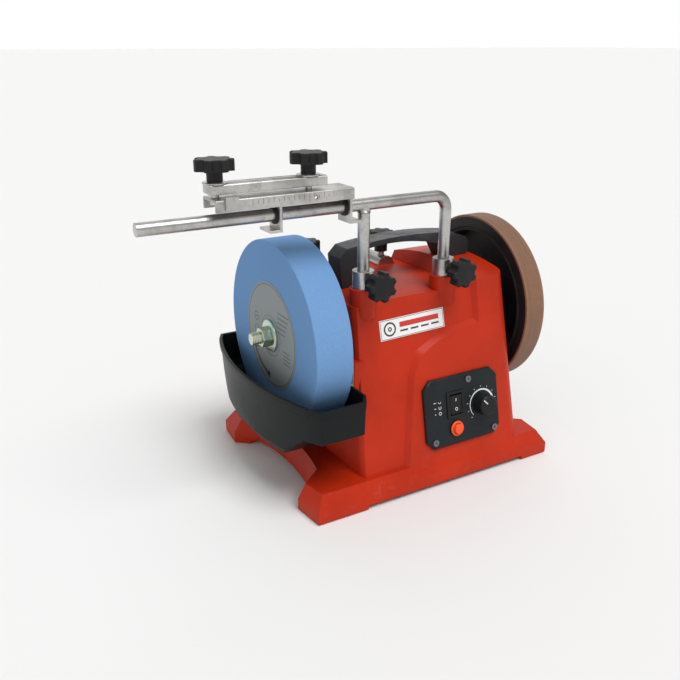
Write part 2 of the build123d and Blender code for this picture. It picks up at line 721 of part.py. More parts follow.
# ---------------------------------------------------------------- control panel
knob_base = PANEL_T + 0.5
pot_bushing_r = 4.0
pot_r = 8.0
stem_r = 3.0
breaker_r = 8.0
breaker_nut_r = 9.0
breaker_nut_t = 2.0
button_out = 4.0
board_depth = 38.0
board_size = (56, 50)
board_centre = (42, 47)
board_posts = [(42, 26), (42, 68)]
switch_w = ROCKER_SIZE[0] + 5
switch_h = ROCKER_SIZE[1] + 6


def front_disc(at, level, radius, thickness, hole=0.0, mode=Mode.ADD):
    """A disc or ring whose axis is square to the sloping front."""
    with BuildSketch(FRONT.offset(level)) as ring:
        with Locations(at):
            Circle(radius)
            if hole:
                Circle(hole, mode=Mode.SUBTRACT)
    extrude(ring.sketch, amount=thickness, mode=mode)


def front_block(at, level, width, height, thickness, mode=Mode.ADD):
    """A box square to the sloping front."""
    with BuildSketch(FRONT.offset(level)) as box:
        with Locations(at):
            Rectangle(width, height)
    extrude(box.sketch, amount=thickness, mode=mode)


with BuildPart() as control_panel:
    with BuildSketch(FRONT) as plate:
        with Locations((PANEL_X, PANEL_LOW + PANEL_HEIGHT / 2)):
            Rectangle(PANEL_WIDTH, PANEL_HEIGHT)
        chamfer(plate.vertices(), PANEL_CORNER)
    extrude(amount=PANEL_T)
    face = control_panel.faces().sort_by(Axis(FRONT.origin, FRONT.z_dir))[-1]
    chamfer(face.edges(), 1.2)
    for at in board_posts:
        front_disc(at, -board_depth, 3.0, board_depth)
    front_block(ROCKER_AT, -1, switch_w, switch_h, PANEL_T + 2, Mode.SUBTRACT)
    front_disc(SPEED_KNOB_AT, -1, pot_bushing_r, PANEL_T + 2, mode=Mode.SUBTRACT)
    front_disc(BUTTON_AT, -1, breaker_r, PANEL_T + 2, mode=Mode.SUBTRACT)
    for at in PANEL_SCREWS:
        front_disc(at, -1, screw_r, PANEL_T + 2, mode=Mode.SUBTRACT)
write(control_panel, "control_panel")

with BuildPart() as panel_screws:
    for at in PANEL_SCREWS:
        front_disc(at, -8, screw_r, 8 + PANEL_T)
        front_disc(at, PANEL_T, screw_head_r, screw_head_t * 0.7)
write(panel_screws, "panel_screws")

with BuildPart() as switch_housing:
    front_block(ROCKER_AT, -24, switch_w, switch_h, 24 + PANEL_T)
    front_block(ROCKER_AT, PANEL_T, switch_w + 3, switch_h + 3, 1.5)
    front_block(ROCKER_AT, -4, ROCKER_SIZE[0] + 1, ROCKER_SIZE[1] + 3, 20, Mode.SUBTRACT)
write(switch_housing, "switch_housing")

rocker_pivot = FRONT.offset(1).from_local_coords((ROCKER_AT[0], ROCKER_AT[1], 0))
with BuildPart() as rocker:
    half = ROCKER_SIZE[1] / 2
    rocker_side = Plane(
        origin=rocker_pivot, x_dir=Vector(0, slope, 1).normalized(), z_dir=(1, 0, 0)
    )
    with BuildSketch(rocker_side):
        with BuildLine():
            ThreePointArc((-half, 5.5), (0, 4), (half, 5.5))
            Line((half, 5.5), (half, -1))
            Line((half, -1), (0, -3))
            Line((0, -3), (-half, -1))
            Line((-half, -1), (-half, 5.5))
        make_face()
    extrude(amount=ROCKER_SIZE[0] / 2, both=True)
write(rocker, "rocker")

with BuildPart() as potentiometer:
    front_disc(SPEED_KNOB_AT, -16, pot_r, 16)
    front_disc(SPEED_KNOB_AT, 0, pot_bushing_r, PANEL_T + 5)
    front_disc(SPEED_KNOB_AT, -10, stem_r + RUNNING_CLEARANCE, 30, mode=Mode.SUBTRACT)
write(potentiometer, "potentiometer")

with BuildPart() as speed_knob:
    front_disc(SPEED_KNOB_AT, knob_base, SPEED_KNOB_D / 2, SPEED_KNOB_H)
    crown = speed_knob.faces().sort_by(Axis(FRONT.origin, FRONT.z_dir))[-1].edges()
    chamfer(crown, 1.5)
    front_disc(SPEED_KNOB_AT, knob_base, pot_bushing_r + 1, 6, mode=Mode.SUBTRACT)
    front_disc(SPEED_KNOB_AT, -9, stem_r, knob_base + 15)
write(speed_knob, "speed_knob")

with BuildPart() as breaker_body:
    front_disc(BUTTON_AT, -28, breaker_r, 28 + PANEL_T)
    front_disc(BUTTON_AT, PANEL_T, breaker_nut_r, breaker_nut_t)
    bore_low = -8
    front_disc(BUTTON_AT, bore_low, BUTTON_D / 2 + 0.1, 30, mode=Mode.SUBTRACT)
write(breaker_body, "breaker_body")

with BuildPart() as reset_button:
    button_top = PANEL_T + breaker_nut_t + button_out
    front_disc(BUTTON_AT, bore_low + 4, BUTTON_D / 2, button_top - bore_low - 4)
    tip = reset_button.faces().sort_by(Axis(FRONT.origin, FRONT.z_dir))[-1].edges()
    fillet(tip, 1.2)
write(reset_button, "reset_button")

with BuildPart() as control_board:
    front_block(board_centre, -board_depth - 1.6, *board_size, 1.6)
    front_block((34, 48), -board_depth - 17.6, 26, 18, 16)
    front_disc((58, 34), -board_depth - 21.6, 6, 20)
write(control_board, "control_board")

with BuildPart() as front_label:
    with BuildSketch(FRONT.offset(-RECESS)):
        with Locations(Location((-17, 149.5, 0), (0, 0, 1.5))):
            Rectangle(80, 21)
    extrude(amount=0.6)
write(front_label, "front_label")

with BuildPart() as cable_gland:
    with BuildSketch(REAR.offset(-8)):
        with Locations(GLAND_AT):
            Circle(gland_r)
    extrude(amount=8)
    with BuildSketch(REAR):
        with Locations(GLAND_AT):
            Circle(gland_r + 2)
    extrude(amount=3)
    with BuildSketch(REAR.offset(3)):
        with Locations(GLAND_AT):
            Circle(gland_r - 1)
    extrude(amount=10)
    with BuildSketch(REAR.offset(-8)):
        with Locations(GLAND_AT):
            Circle(gland_r - 3)
    extrude(amount=30, mode=Mode.SUBTRACT)
write(cable_gland, "cable_gland")

# ---------------------------------------------------------------- straight-edge jig
jig_left = JIG_RIGHT - JIG_LENGTH
channel_low = BAR_HEIGHT + bar_r + JIG_BAR_GAP
channel_top = channel_low + JIG_CHANNEL_H
clamp_low = channel_top + JIG_BLADE_GAP
clamp_top = clamp_low + JIG_CLAMP_T
stud_xs = (jig_left + 6, jig_left + 6 + JIG_STUD_PITCH)
hanger_xs = (jig_left + 61, JIG_RIGHT - JIG_SHEET)
hanger_low = BAR_HEIGHT - 12
hanger_half = JIG_WIDTH / 2 - JIG_SHEET - 1
foot_length = 10.0
stud_r = JIG_STUD_D / 2
bush_outer_r = JIG_BUSH_D / 2
washer_gap = 1.8

with BuildPart() as jig_channel:
    y_low = BAR_Y - JIG_WIDTH / 2
    y_high = BAR_Y + JIG_WIDTH / 2
    block((jig_left, JIG_RIGHT), (y_low, y_high), (channel_low, channel_top))
    long_edges = jig_channel.edges().filter_by(Axis.X).group_by(Axis.Z)[-1]
    fillet(long_edges, 1.5)
    block(
        (jig_left, JIG_RIGHT),
        (y_low + JIG_SHEET, y_high - JIG_SHEET),
        (channel_low, channel_top - JIG_SHEET),
        Mode.SUBTRACT,
    )
    block((jig_left + 8, jig_left + 20), (y_low - 3, y_low), (channel_low + 2, clamp_low - 1))
    with Locations(*[(x, BAR_Y, channel_top) for x in stud_xs]):
        Cylinder(stud_r, 3 * JIG_SHEET, mode=Mode.SUBTRACT)
    with Locations(Location((jig_left + 96, y_low, (channel_low + channel_top) / 2), (90, 0, 0))):
        Cylinder(2, 3 * JIG_SHEET, mode=Mode.SUBTRACT)
write(jig_channel, "jig_channel")

with BuildPart() as jig_hangers:
    for x, way in zip(hanger_xs, (-1, 1)):
        block(
            (x, x + JIG_SHEET),
            (BAR_Y - hanger_half, BAR_Y + hanger_half),
            (hanger_low, channel_top - JIG_SHEET),
        )
        far = x + JIG_SHEET + foot_length if way > 0 else x - foot_length
        near = x if way > 0 else x + JIG_SHEET
        block(
            (min(near, far), max(near, far)),
            (BAR_Y - hanger_half, BAR_Y + hanger_half),
            (hanger_low - JIG_SHEET, hanger_low),
        )
    for x in hanger_xs:
        disc(
            along_x(x, BAR_Y, BAR_HEIGHT),
            bush_outer_r + RUNNING_CLEARANCE,
            JIG_SHEET,
            mode=Mode.SUBTRACT,
        )
write(jig_hangers, "jig_hangers")

with BuildPart() as jig_bushes:
    for x in hanger_xs:
        disc(along_x(x - 2, BAR_Y, BAR_HEIGHT), bush_outer_r, JIG_SHEET + 4, hole=sleeve_bore_r)
write(jig_bushes, "jig_bushes")

knob_seat = clamp_top + washer_gap
jig_hub_length = 9.0
stud_top = knob_seat + jig_hub_length + JIG_KNOB_T / 2
with BuildPart() as jig_studs:
    for x in stud_xs:
        disc(Plane((x, BAR_Y, channel_top - JIG_SHEET)), stud_r, stud_top - channel_top + JIG_SHEET)
        disc(Plane((x, BAR_Y, channel_top - JIG_SHEET - 3)), stud_r + 2, 3)
write(jig_studs, "jig_studs")

with BuildPart() as jig_clamp_bar:
    bar_x = jig_left - 2
    half_w = JIG_CLAMP_WIDTH / 2
    block((bar_x, bar_x + JIG_CLAMP_LENGTH), (BAR_Y - half_w, BAR_Y + half_w), (clamp_low, clamp_top))
    ridge = jig_clamp_bar.edges().filter_by(Axis.X).group_by(Axis.Z)[-1]
    chamfer(ridge, 1.5)
    with Locations(*[(x, BAR_Y, clamp_low + JIG_CLAMP_T / 2) for x in stud_xs]):
        Cylinder(stud_r + 0.3, 2 * JIG_CLAMP_T, mode=Mode.SUBTRACT)
write(jig_clamp_bar, "jig_clamp_bar")

for side, x in zip(side_names, stud_xs):
    jig_knob = star_knob(
        Plane((x, BAR_Y, knob_seat)),
        JIG_KNOB_D / 2,
        JIG_KNOB_T,
        stud_r + 4,
        jig_hub_length,
        stud_r + RUNNING_CLEARANCE,
        stud_top - knob_seat + 0.5,
    )
    write(jig_knob, f"jig_knob_{side}")

# ---------------------------------------------------------------- water trough
clip_back = clip_x - CLIP_T
trough_inner_x = clip_back - CLIP_GAP
trough_floor = SHAFT_HEIGHT - WHEEL_D / 2 - TROUGH_FLOOR_GAP - TROUGH_WALL
trough_end_floor = TROUGH_RIM - TROUGH_END_DROP


def trough_outline(z, inset, draft):
    """The boat-shaped plan of the trough: straight beside the body, bulged beyond the wheel."""
    x_in = trough_inner_x - inset
    y_end = TROUGH_HALF_LENGTH - inset - draft
    y_side = TROUGH_HALF_LENGTH - 14 - draft
    x_end = wheel_outer_x - 8 + (inset + draft) * 0.6
    x_side = wheel_outer_x - 15 + inset + draft
    x_mid = wheel_outer_x - TROUGH_BULGE + inset + draft
    with BuildSketch(Plane.XY.offset(z)) as outline:
        with BuildLine():
            Line((x_in, -y_side), (x_in, y_side))
            Line((x_in, y_side), (x_in - 8, y_end))
            Line((x_in - 8, y_end), (x_end, y_end))
            Line((x_end, y_end), (x_side, y_side))
            ThreePointArc((x_side, y_side), (x_mid, 0), (x_side, -y_side))
            Line((x_side, -y_side), (x_end, -y_end))
            Line((x_end, -y_end), (x_in - 8, -y_end))
            Line((x_in - 8, -y_end), (x_in, -y_side))
        make_face()
    return outline.sketch


def keel(lift):
    """Removes what lies under the trough's rising ends."""
    low = trough_floor + lift
    end = trough_end_floor + lift
    with BuildSketch(Plane.YZ) as under:
        with BuildLine():
            Polyline(
                (-140, end + 2),
                (-100, end),
                (-54, low),
                (54, low),
                (100, end),
                (140, end + 2),
                (140, low - 20),
                (-140, low - 20),
                (-140, end + 2),
            )
        make_face()
    extrude(under.sketch, amount=-2 * BASE_LEFT, both=True, mode=Mode.SUBTRACT)


def hull(inset, top):
    """The solid hull: steep sides above the bilge and a turned-in bottom."""
    bilge = trough_floor + TROUGH_BILGE
    bottom = trough_outline(trough_floor, inset, TROUGH_DRAFT + TROUGH_BILGE * 0.7)
    middle = trough_outline(bilge, inset, TROUGH_DRAFT)
    loft([bottom, middle], ruled=True)
    loft([middle, trough_outline(top, inset, 0)], ruled=True)
    keel(inset)


with BuildPart() as trough_space:
    hull(TROUGH_WALL, TROUGH_RIM + 1)

with BuildPart() as trough:
    hull(0, TROUGH_RIM)
    extrude(trough_outline(TROUGH_RIM - 6, 0, -1), amount=6)
    add(trough_space.part, mode=Mode.SUBTRACT)
write(trough, "trough")

with BuildPart() as trough_clips:
    for y in clip_ys:
        span = (y - CLIP_WIDTH / 2 + 1, y + CLIP_WIDTH / 2 - 1)
        hook_front = trough_inner_x - TROUGH_WALL - CLIP_GAP - CLIP_T
        bridge = TROUGH_RIM + CLIP_GAP
        block((clip_back, clip_x), span, (clip_low, clip_high))
        block((hook_front, clip_back), span, (bridge, bridge + CLIP_T))
        block((hook_front, hook_front + CLIP_T), span, (TROUGH_RIM - 7, bridge))
write(trough_clips, "trough_clips")
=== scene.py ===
import math

import bmesh
import bpy
from mathutils import Matrix, Vector


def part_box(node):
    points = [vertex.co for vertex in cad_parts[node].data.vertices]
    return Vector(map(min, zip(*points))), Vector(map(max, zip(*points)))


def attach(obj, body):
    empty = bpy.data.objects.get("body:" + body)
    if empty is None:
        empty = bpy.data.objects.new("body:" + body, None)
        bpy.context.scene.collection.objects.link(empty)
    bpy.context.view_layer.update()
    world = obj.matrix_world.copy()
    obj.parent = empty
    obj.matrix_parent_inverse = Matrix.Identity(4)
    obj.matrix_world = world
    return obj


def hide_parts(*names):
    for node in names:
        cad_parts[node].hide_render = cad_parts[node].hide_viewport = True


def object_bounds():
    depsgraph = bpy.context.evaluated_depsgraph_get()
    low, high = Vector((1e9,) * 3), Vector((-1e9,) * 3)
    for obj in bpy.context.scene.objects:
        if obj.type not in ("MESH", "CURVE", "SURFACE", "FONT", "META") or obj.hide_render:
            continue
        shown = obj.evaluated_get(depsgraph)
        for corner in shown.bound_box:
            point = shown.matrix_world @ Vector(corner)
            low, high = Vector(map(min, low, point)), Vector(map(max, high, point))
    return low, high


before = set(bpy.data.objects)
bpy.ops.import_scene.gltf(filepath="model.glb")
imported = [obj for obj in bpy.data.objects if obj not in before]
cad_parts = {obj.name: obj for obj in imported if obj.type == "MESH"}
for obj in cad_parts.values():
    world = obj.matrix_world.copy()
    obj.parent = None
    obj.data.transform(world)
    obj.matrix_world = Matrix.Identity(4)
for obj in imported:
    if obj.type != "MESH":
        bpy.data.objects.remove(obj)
CAD_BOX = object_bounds()

bl_info = {
    "name": "Wet Grinding Sharpener",
    "version": (1, 0, 0),
    "blender": (4, 5, 0),
    "location": "View3D > Sidebar > Sharpener",
    "description": "Finishes and small parts of a water-cooled grindstone and honing wheel",
    "category": "Object",
}

MM = 0.001
SIDES = ("left", "right")

# Places that the CAD model fixes, in metres.
AXLE_Z = 0.160
BAR_Y = -0.0615
FRONT_FOOT = Vector((0, -0.110, 0.028))
FRONT_LEAN = 36 / 177  # how far the front leans back for each unit up
PANEL_TOP = 4 * MM
LABEL_TOP = -4.4 * MM
ROCKER_LEVEL = 5.42 * MM

# Places on the sloping front, in millimetres across and up the slope.
LABEL_AT = (-17, 149.5)
LABEL_TILT = 1.5
ROCKER_AT = (23.5, 56.5)
SPEED_AT = (58.5, 49.5)
BUTTON_AT = (22.5, 30.0)
PANEL_SCREWS = ((-6.0, 20.0), (73.5, 19.5), (42.0, 80.5))

# Small parts, in millimetres.
SHAFT_RADIUS = 6.0
THREAD_START = 0.8
THREAD_RELIEF = 0.6
STONE_BORE = 7.0
LABEL_RADIUS = 54.0
GLAND_RIDGES, GLAND_FIRST, GLAND_PITCH = 3, 4.5, 2.6
HUB_RIBS, HUB_RIB_MIDDLE, HUB_RIB_LENGTH, HUB_RIB_WIDTH = 6, 61, 51, 3.4
HUB_RING_RADII = (88.0, 34.0)
KNOB_FLUTES, FLUTE_RADIUS = 24, 10.95
LEATHER_STEPS = 12
LEATHER_ROLL = 0.8  # how far the leather's edges roll down
LEATHER_ROLL_WIDTH = 2.2
SEAM_LIFT = 0.03
SEAM_HALF_WIDTH = 0.35
SEAM_START, SEAM_SWEEP, SEAM_STEPS = 148, 9, 12  # degrees round the wheel
SPEED_START, SPEED_SWEEP, SPEED_MARKS = 222, 264, 11

# Stage.
FLOOR_REACH = 60.0
FLOOR_PAINT = (0.83, 0.83, 0.825)
SKY_GREYS = ((0.07, 1.0), (0.15, 0.72), (0.42, 0.25), (1.0, 0.48))  # height, grey
SUNS = (  # name, direction it comes from, softness in degrees, strength
    ("key", (0.25, -1.0, 1.8), 34, 2.15),
    ("fill", (-1.4, -0.8, 0.8), 60, 0.32),
    ("back", (0.6, 1.5, 1.2), 60, 0.45),
)
CAMERA_AT = (-0.4613, -0.6940, 0.4443)
CAMERA_AZIMUTH, CAMERA_ELEVATION = -30.08, 20.83
LENS_LENGTH, SENSOR_WIDTH = 41.38, 36.0


# ------------------------------------------------------------------ shader expressions
class Value:
    """A shader socket in an expression; each operation adds its Math node."""

    def __init__(self, finish, socket):
        self.finish = finish
        self.socket = socket

    def maths(self, operation, *values):
        return self.finish.node("ShaderNodeMath", {"operation": operation}, dict(enumerate(values)))

    def __add__(self, other):
        return self.maths("ADD", self, other)

    __radd__ = __add__

    def __sub__(self, other):
        return self.maths("SUBTRACT", self, other)

    def __rsub__(self, other):
        return self.maths("SUBTRACT", other, self)

    def __mul__(self, other):
        return self.maths("MULTIPLY", self, other)

    __rmul__ = __mul__

    def __pow__(self, other):
        return self.maths("POWER", self, other)

    def sine(self):
        return self.maths("SINE", self)

    def ramp(self, low, high):
        """0 below low, 1 above high, and a smooth rise between them."""
        settings = {"interpolation_type": "SMOOTHSTEP"}
        return self.finish.node(
            "ShaderNodeMapRange", settings, {"Value": self, "From Min": low, "From Max": high}
        )


class Finish:
    """A procedural material: one Principled shader and the nodes that vary it."""

    def __init__(self, name, roughness=0.5, metallic=0.0, **fixed):
        self.material = bpy.data.materials.new(name)
        self.material.use_nodes = True
        self.tree = self.material.node_tree
        self.tree.nodes.clear()
        self.shader = self.tree.nodes.new("ShaderNodeBsdfPrincipled")
        output = self.tree.nodes.new("ShaderNodeOutputMaterial")
        self.tree.links.new(self.shader.outputs[0], output.inputs[0])
        self.set("Roughness", roughness)
        self.set("Metallic", metallic)
        for socket, value in fixed.items():
            self.set(socket.replace("_", " "), value)
        self.at = self.node("ShaderNodeTexCoord", output="Object")

    def node(self, kind, settings=(), sockets=(), output=0):
        """Adds a node: its settings first, then the values or links of its sockets."""
        made = self.tree.nodes.new(kind)
        for name, value in dict(settings).items():
            setattr(made, name, value)
        for name, value in dict(sockets).items():
            self.feed(made.inputs[name], value)
        return Value(self, made.outputs[output])

    def feed(self, socket, value):
        if isinstance(value, Value):
            self.tree.links.new(value.socket, socket)
        elif socket.type == "RGBA":
            socket.default_value = (*value[:3], 1.0)
        else:
            socket.default_value = value

    def set(self, socket, value):
        self.feed(self.shader.inputs[socket], value)

    def stretched(self, x, y, z):
        """The place on the piece with its axes scaled, for grain that runs one way."""
        return self.node(
            "ShaderNodeVectorMath", {"operation": "MULTIPLY"}, {0: self.at, 1: (x, y, z)}
        )

    def noise(self, scale, detail=3.0, at=None, roughness=0.55):
        sockets = {"Vector": at or self.at, "Scale": scale, "Detail": detail, "Roughness": roughness}
        return self.node("ShaderNodeTexNoise", {}, sockets)

    def cells(self, scale, feature="F1"):
        sockets = {"Vector": self.at, "Scale": scale}
        return self.node("ShaderNodeTexVoronoi", {"feature": feature}, sockets)

    def place(self, axis):
        return self.node("ShaderNodeSeparateXYZ", {}, {0: self.at}, output=axis)

    def round_axle(self):
        """Place along the wheel axle, distance from it and angle round it."""
        across = self.place("Y")
        up = self.place("Z") - AXLE_Z
        radius = (across * across + up * up) ** 0.5
        return self.place("X"), radius, across.maths("ARCTAN2", across, up)

    def vector(self, x, y, z):
        return self.node("ShaderNodeCombineXYZ", {}, {0: x, 1: y, 2: z})

    def mix(self, share, first, second):
        """A colour between first and second."""
        return self.node(
            "ShaderNodeMix", {"data_type": "RGBA"}, {0: share, 6: first, 7: second}, output=2
        )

    def bump(self, height, depth, strength=1.0):
        sockets = {"Height": height, "Distance": depth, "Strength": strength}
        self.set("Normal", self.node("ShaderNodeBump", {}, sockets))


def shade(colour, factor):
    return tuple(min(1.0, channel * factor) for channel in colour[:3])


def toned(colour, red, green, blue):
    return (colour[0] * red, colour[1] * green, colour[2] * blue)


# ------------------------------------------------------------------ finishes
def red_enamel(colour):
    """Sprayed enamel on a casting: orange peel, a cloudy tone and a little dust low down."""
    f = Finish("red_enamel", Coat_Weight=0.03, Coat_Roughness=0.2, Specular_IOR_Level=0.17)
    cloud = f.noise(14, 4)
    fine = f.noise(420, 2)
    low = 1 - f.place("Z").ramp(0.012, 0.060)
    dust = (f.noise(95, 6, roughness=0.7).ramp(0.52, 0.78)) * low
    tone = f.mix(cloud.ramp(0.3, 0.7), shade(colour, 0.9), toned(colour, 1.08, 1.12, 1.1))
    tone = f.mix(fine.ramp(0.55, 0.8) * 0.18, tone, shade(colour, 1.5))
    f.set("Base Color", f.mix(dust * 0.07, tone, (0.42, 0.36, 0.31)))
    f.set("Roughness", 0.36 + cloud * 0.14 + dust * 0.25)
    f.bump(fine * 0.7 + f.noise(60, 2) * 0.9, 0.00028, 0.55)
    return f.material


def moulded(name, colour, grain=700.0, depth=0.00006, roughness=0.42):
    """Moulded plastic with a fine spark-eroded grain and faint rubbed patches."""
    f = Finish(name, Specular_IOR_Level=0.21)
    rubbed = f.noise(28, 5, roughness=0.65)
    grains = f.noise(grain, 2)
    f.set("Base Color", f.mix(rubbed.ramp(0.35, 0.75), colour, shade(colour, 1.55)))
    f.set("Roughness", roughness - 0.10 + rubbed * 0.22 + grains * 0.06)
    f.bump(grains, depth)
    return f.material


def handle_plastic(colour):
    """Grey-black grip plastic, coarser in grain and polished by the hand along its crown, where a
    painted highlight also lightens its colour.
    """
    f = Finish("handle_plastic", Specular_IOR_Level=0.32)
    # Crown mask: its polish lowers the roughness, and it also carries a painted highlight that lightens
    # the colour.
    crown_polish_and_highlight = f.place("Z").ramp(0.238, 0.2495) * f.noise(60, 3).ramp(0.3, 0.62)
    grains = f.cells(900)
    # Painted highlight: the crown's colour is lightened towards grey.
    f.set("Base Color", f.mix(crown_polish_and_highlight * 0.6, colour, shade(colour, 2.3)))
    f.set("Roughness", 0.46 - crown_polish_and_highlight * 0.16 + f.noise(35, 3) * 0.08)
    f.bump(grains * (1 - crown_polish_and_highlight * 0.7), 0.00009)
    return f.material


def trough_plastic(colour):
    """Water trough plastic: flow marks along the wall and a fine moulded grain."""
    f = Finish("trough_plastic", Specular_IOR_Level=0.15)
    flow = f.noise(9, 4, at=f.stretched(1, 1, 5))
    rubbed = f.noise(70, 5, roughness=0.7).ramp(0.55, 0.75)
    f.set("Base Color", f.mix(rubbed * 0.5, f.mix(flow, colour, shade(colour, 1.5)), shade(colour, 2.4)))
    f.set("Roughness", 0.34 + flow * 0.14 + rubbed * 0.12)
    f.bump(f.noise(520, 2) + flow * 1.4, 0.00012, 0.6)
    return f.material


def steel(name, colour, roughness=0.24, scratch=0.14):
    """Plated bright steel, drawn along x, with hairlines, blooms and dull specks."""
    f = Finish(name, metallic=1.0)
    hair = f.noise(1, 3, at=f.stretched(6, 900, 900))
    bloom = f.noise(38, 5, roughness=0.65)
    specks = f.noise(420, 3, roughness=0.7).ramp(0.56, 0.70)
    tone = f.mix(bloom.ramp(0.38, 0.7), shade(colour, 1.06), shade(colour, 0.68))
    f.set("Base Color", f.mix(specks * 0.5, tone, shade(colour, 0.45)))
    f.set("Roughness", roughness + hair * scratch + bloom.ramp(0.45, 0.8) * 0.12 + specks * 0.1)
    f.bump(hair + specks * 0.6, 0.00003, 0.6)
    return f.material


def zinc(name, colour, roughness=0.34):
    """Zinc plate: broken spangle, cloudy tone and small dull spots."""
    f = Finish(name, metallic=0.95)
    spangle = f.cells(260)
    cloud = f.noise(50, 4)
    spots = f.noise(310, 3).ramp(0.62, 0.72)
    f.set("Base Color", f.mix(cloud, f.mix(spangle, shade(colour, 1.1), shade(colour, 0.78)), colour))
    f.set("Roughness", roughness + spangle * 0.12 + spots * 0.2)
    f.bump(spangle + spots, 0.00003, 0.5)
    return f.material


def yellow_zinc(colour):
    """Yellow-passivated zinc, whose tint drifts between straw, green and rose."""
    f = Finish("yellow_zinc", metallic=0.95)
    drift = f.noise(70, 2)
    tint = f.mix(drift.ramp(0.35, 0.5), toned(colour, 0.85, 1.0, 0.95), toned(colour, 1.05, 1.0, 0.78))
    f.set("Base Color", f.mix(drift.ramp(0.55, 0.7) * 0.3, tint, toned(colour, 1.0, 0.9, 0.95)))
    f.set("Roughness", 0.24 + f.noise(240, 3) * 0.16)
    f.bump(f.noise(600, 2), 0.00002)
    return f.material


def grindstone(colour):
    """Bonded grit: open grain, darker pores, and the marks that dressing leaves round it."""
    f = Finish("grindstone", roughness=0.85, Specular_IOR_Level=0.25)
    along, radius, angle = f.round_axle()
    grit = f.noise(1500, 3, roughness=0.7)
    pores = f.cells(620).ramp(0.02, 0.16)
    cloud = f.noise(16, 4)
    worn = radius.ramp(0.0985, 0.0998)
    dressed = f.noise(1, 2, at=f.vector(along * 900, radius * 900, angle * 0.7))
    paler = toned(colour, 1.22, 1.10, 1.04)
    tone = f.mix(grit.ramp(0.38, 0.66), shade(colour, 0.84), paler)
    tone = f.mix(cloud.ramp(0.35, 0.75) * 0.35, tone, toned(colour, 0.86, 0.93, 0.97))
    tone = f.mix((1 - pores) * 0.35, tone, shade(colour, 0.5))
    f.set("Base Color", f.mix(worn * 0.2, tone, toned(colour, 1.35, 1.2, 1.08)))
    f.set("Roughness", 0.80 + grit * 0.15)
    f.bump(grit * 0.8 + pores * 0.7 + dressed * 0.5, 0.00022, 0.8)
    return f.material


def honing_leather(colour):
    """Undyed honing leather: pebbled grain, dark compound worked in along the wheel."""
    f = Finish("honing_leather", roughness=0.7, Sheen_Weight=0.15, Specular_IOR_Level=0.35)
    along, radius, angle = f.round_axle()
    pebble = f.cells(1100)
    crease = f.noise(190, 5, roughness=0.65)
    band = f.noise(1, 4, at=f.vector(along * 420, radius * 90, angle * 1.3))
    across = along.ramp(0.1215, 0.1245) * (1 - along.ramp(0.1415, 0.1445))
    compound = band.ramp(0.45, 0.72) * across
    tone = f.mix(crease, shade(colour, 0.78), toned(colour, 1.25, 1.22, 1.15))
    tone = f.mix(compound * 0.45, tone, shade(colour, 0.42))
    f.set("Base Color", f.mix((1 - across) * 0.3, tone, toned(colour, 1.5, 1.5, 1.4)))
    f.set("Roughness", 0.62 + crease * 0.2 - compound * 0.14)
    f.bump(pebble * 0.6 + crease * 0.7, 0.00025, 0.8)
    return f.material


def rubber(colour):
    f = Finish("black_rubber", roughness=0.8, Specular_IOR_Level=0.3)
    bloom = f.noise(60, 5)
    f.set("Base Color", f.mix(bloom.ramp(0.4, 0.8), colour, shade(colour, 2.0)))
    f.set("Roughness", 0.70 + bloom * 0.2)
    f.bump(f.noise(500, 3), 0.0001)
    return f.material


def printed_film(name, colour, roughness=0.35, fibre=0.0):
    """Label stock: near-even tone with a faint mottle, and fibres where it is paper."""
    f = Finish(name, Specular_IOR_Level=0.45)
    mottle = f.noise(120, 4)
    fibres = f.noise(1, 4, at=f.stretched(700, 180, 1500))
    tone = f.mix(mottle, shade(colour, 0.94), shade(colour, 1.05))
    f.set("Base Color", f.mix(fibres * fibre, tone, shade(colour, 0.7)))
    f.set("Roughness", roughness + mottle * 0.12)
    f.bump(fibres * fibre + mottle * 0.4, 0.00004)
    return f.material


def copper(colour):
    f = Finish("copper_windings", metallic=0.9)
    turns = (f.place("Z") * 5200).sine() * 0.5 + 0.5
    f.set("Base Color", f.mix(turns, shade(colour, 0.55), shade(colour, 1.2)))
    f.set("Roughness", 0.30 + f.noise(90, 3) * 0.2)
    f.bump(turns, 0.0001)
    return f.material


def circuit_board(colour):
    f = Finish("circuit_board", Coat_Weight=0.4, Coat_Roughness=0.1)
    tracks = f.cells(240, feature="DISTANCE_TO_EDGE").ramp(0.02, 0.05)
    f.set("Base Color", f.mix(tracks, toned(colour, 2.2, 1.6, 1.6), colour))
    f.set("Roughness", 0.3 + f.noise(80, 2) * 0.15)
    f.bump(1 - tracks, 0.00005)
    return f.material


def cast_grain(name, colour, roughness=0.5, metallic=0.6):
    """Sintered or pressed metal with fine open grain."""
    f = Finish(name, metallic=metallic)
    grain = f.noise(800, 4, roughness=0.7)
    f.set("Base Color", f.mix(grain, shade(colour, 0.7), shade(colour, 1.15)))
    f.set("Roughness", roughness - 0.08 + grain * 0.18)
    f.bump(grain, 0.00005)
    return f.material


def ink(name, colour):
    """Screen-printed ink with slight starving in its solid areas."""
    f = Finish(name, roughness=0.45)
    starved = f.noise(900, 3).ramp(0.60, 0.75)
    f.set("Base Color", f.mix(starved * 0.25, colour, tuple(0.5 * c + 0.12 for c in colour)))
    f.set("Roughness", 0.40 + starved * 0.2)
    return f.material


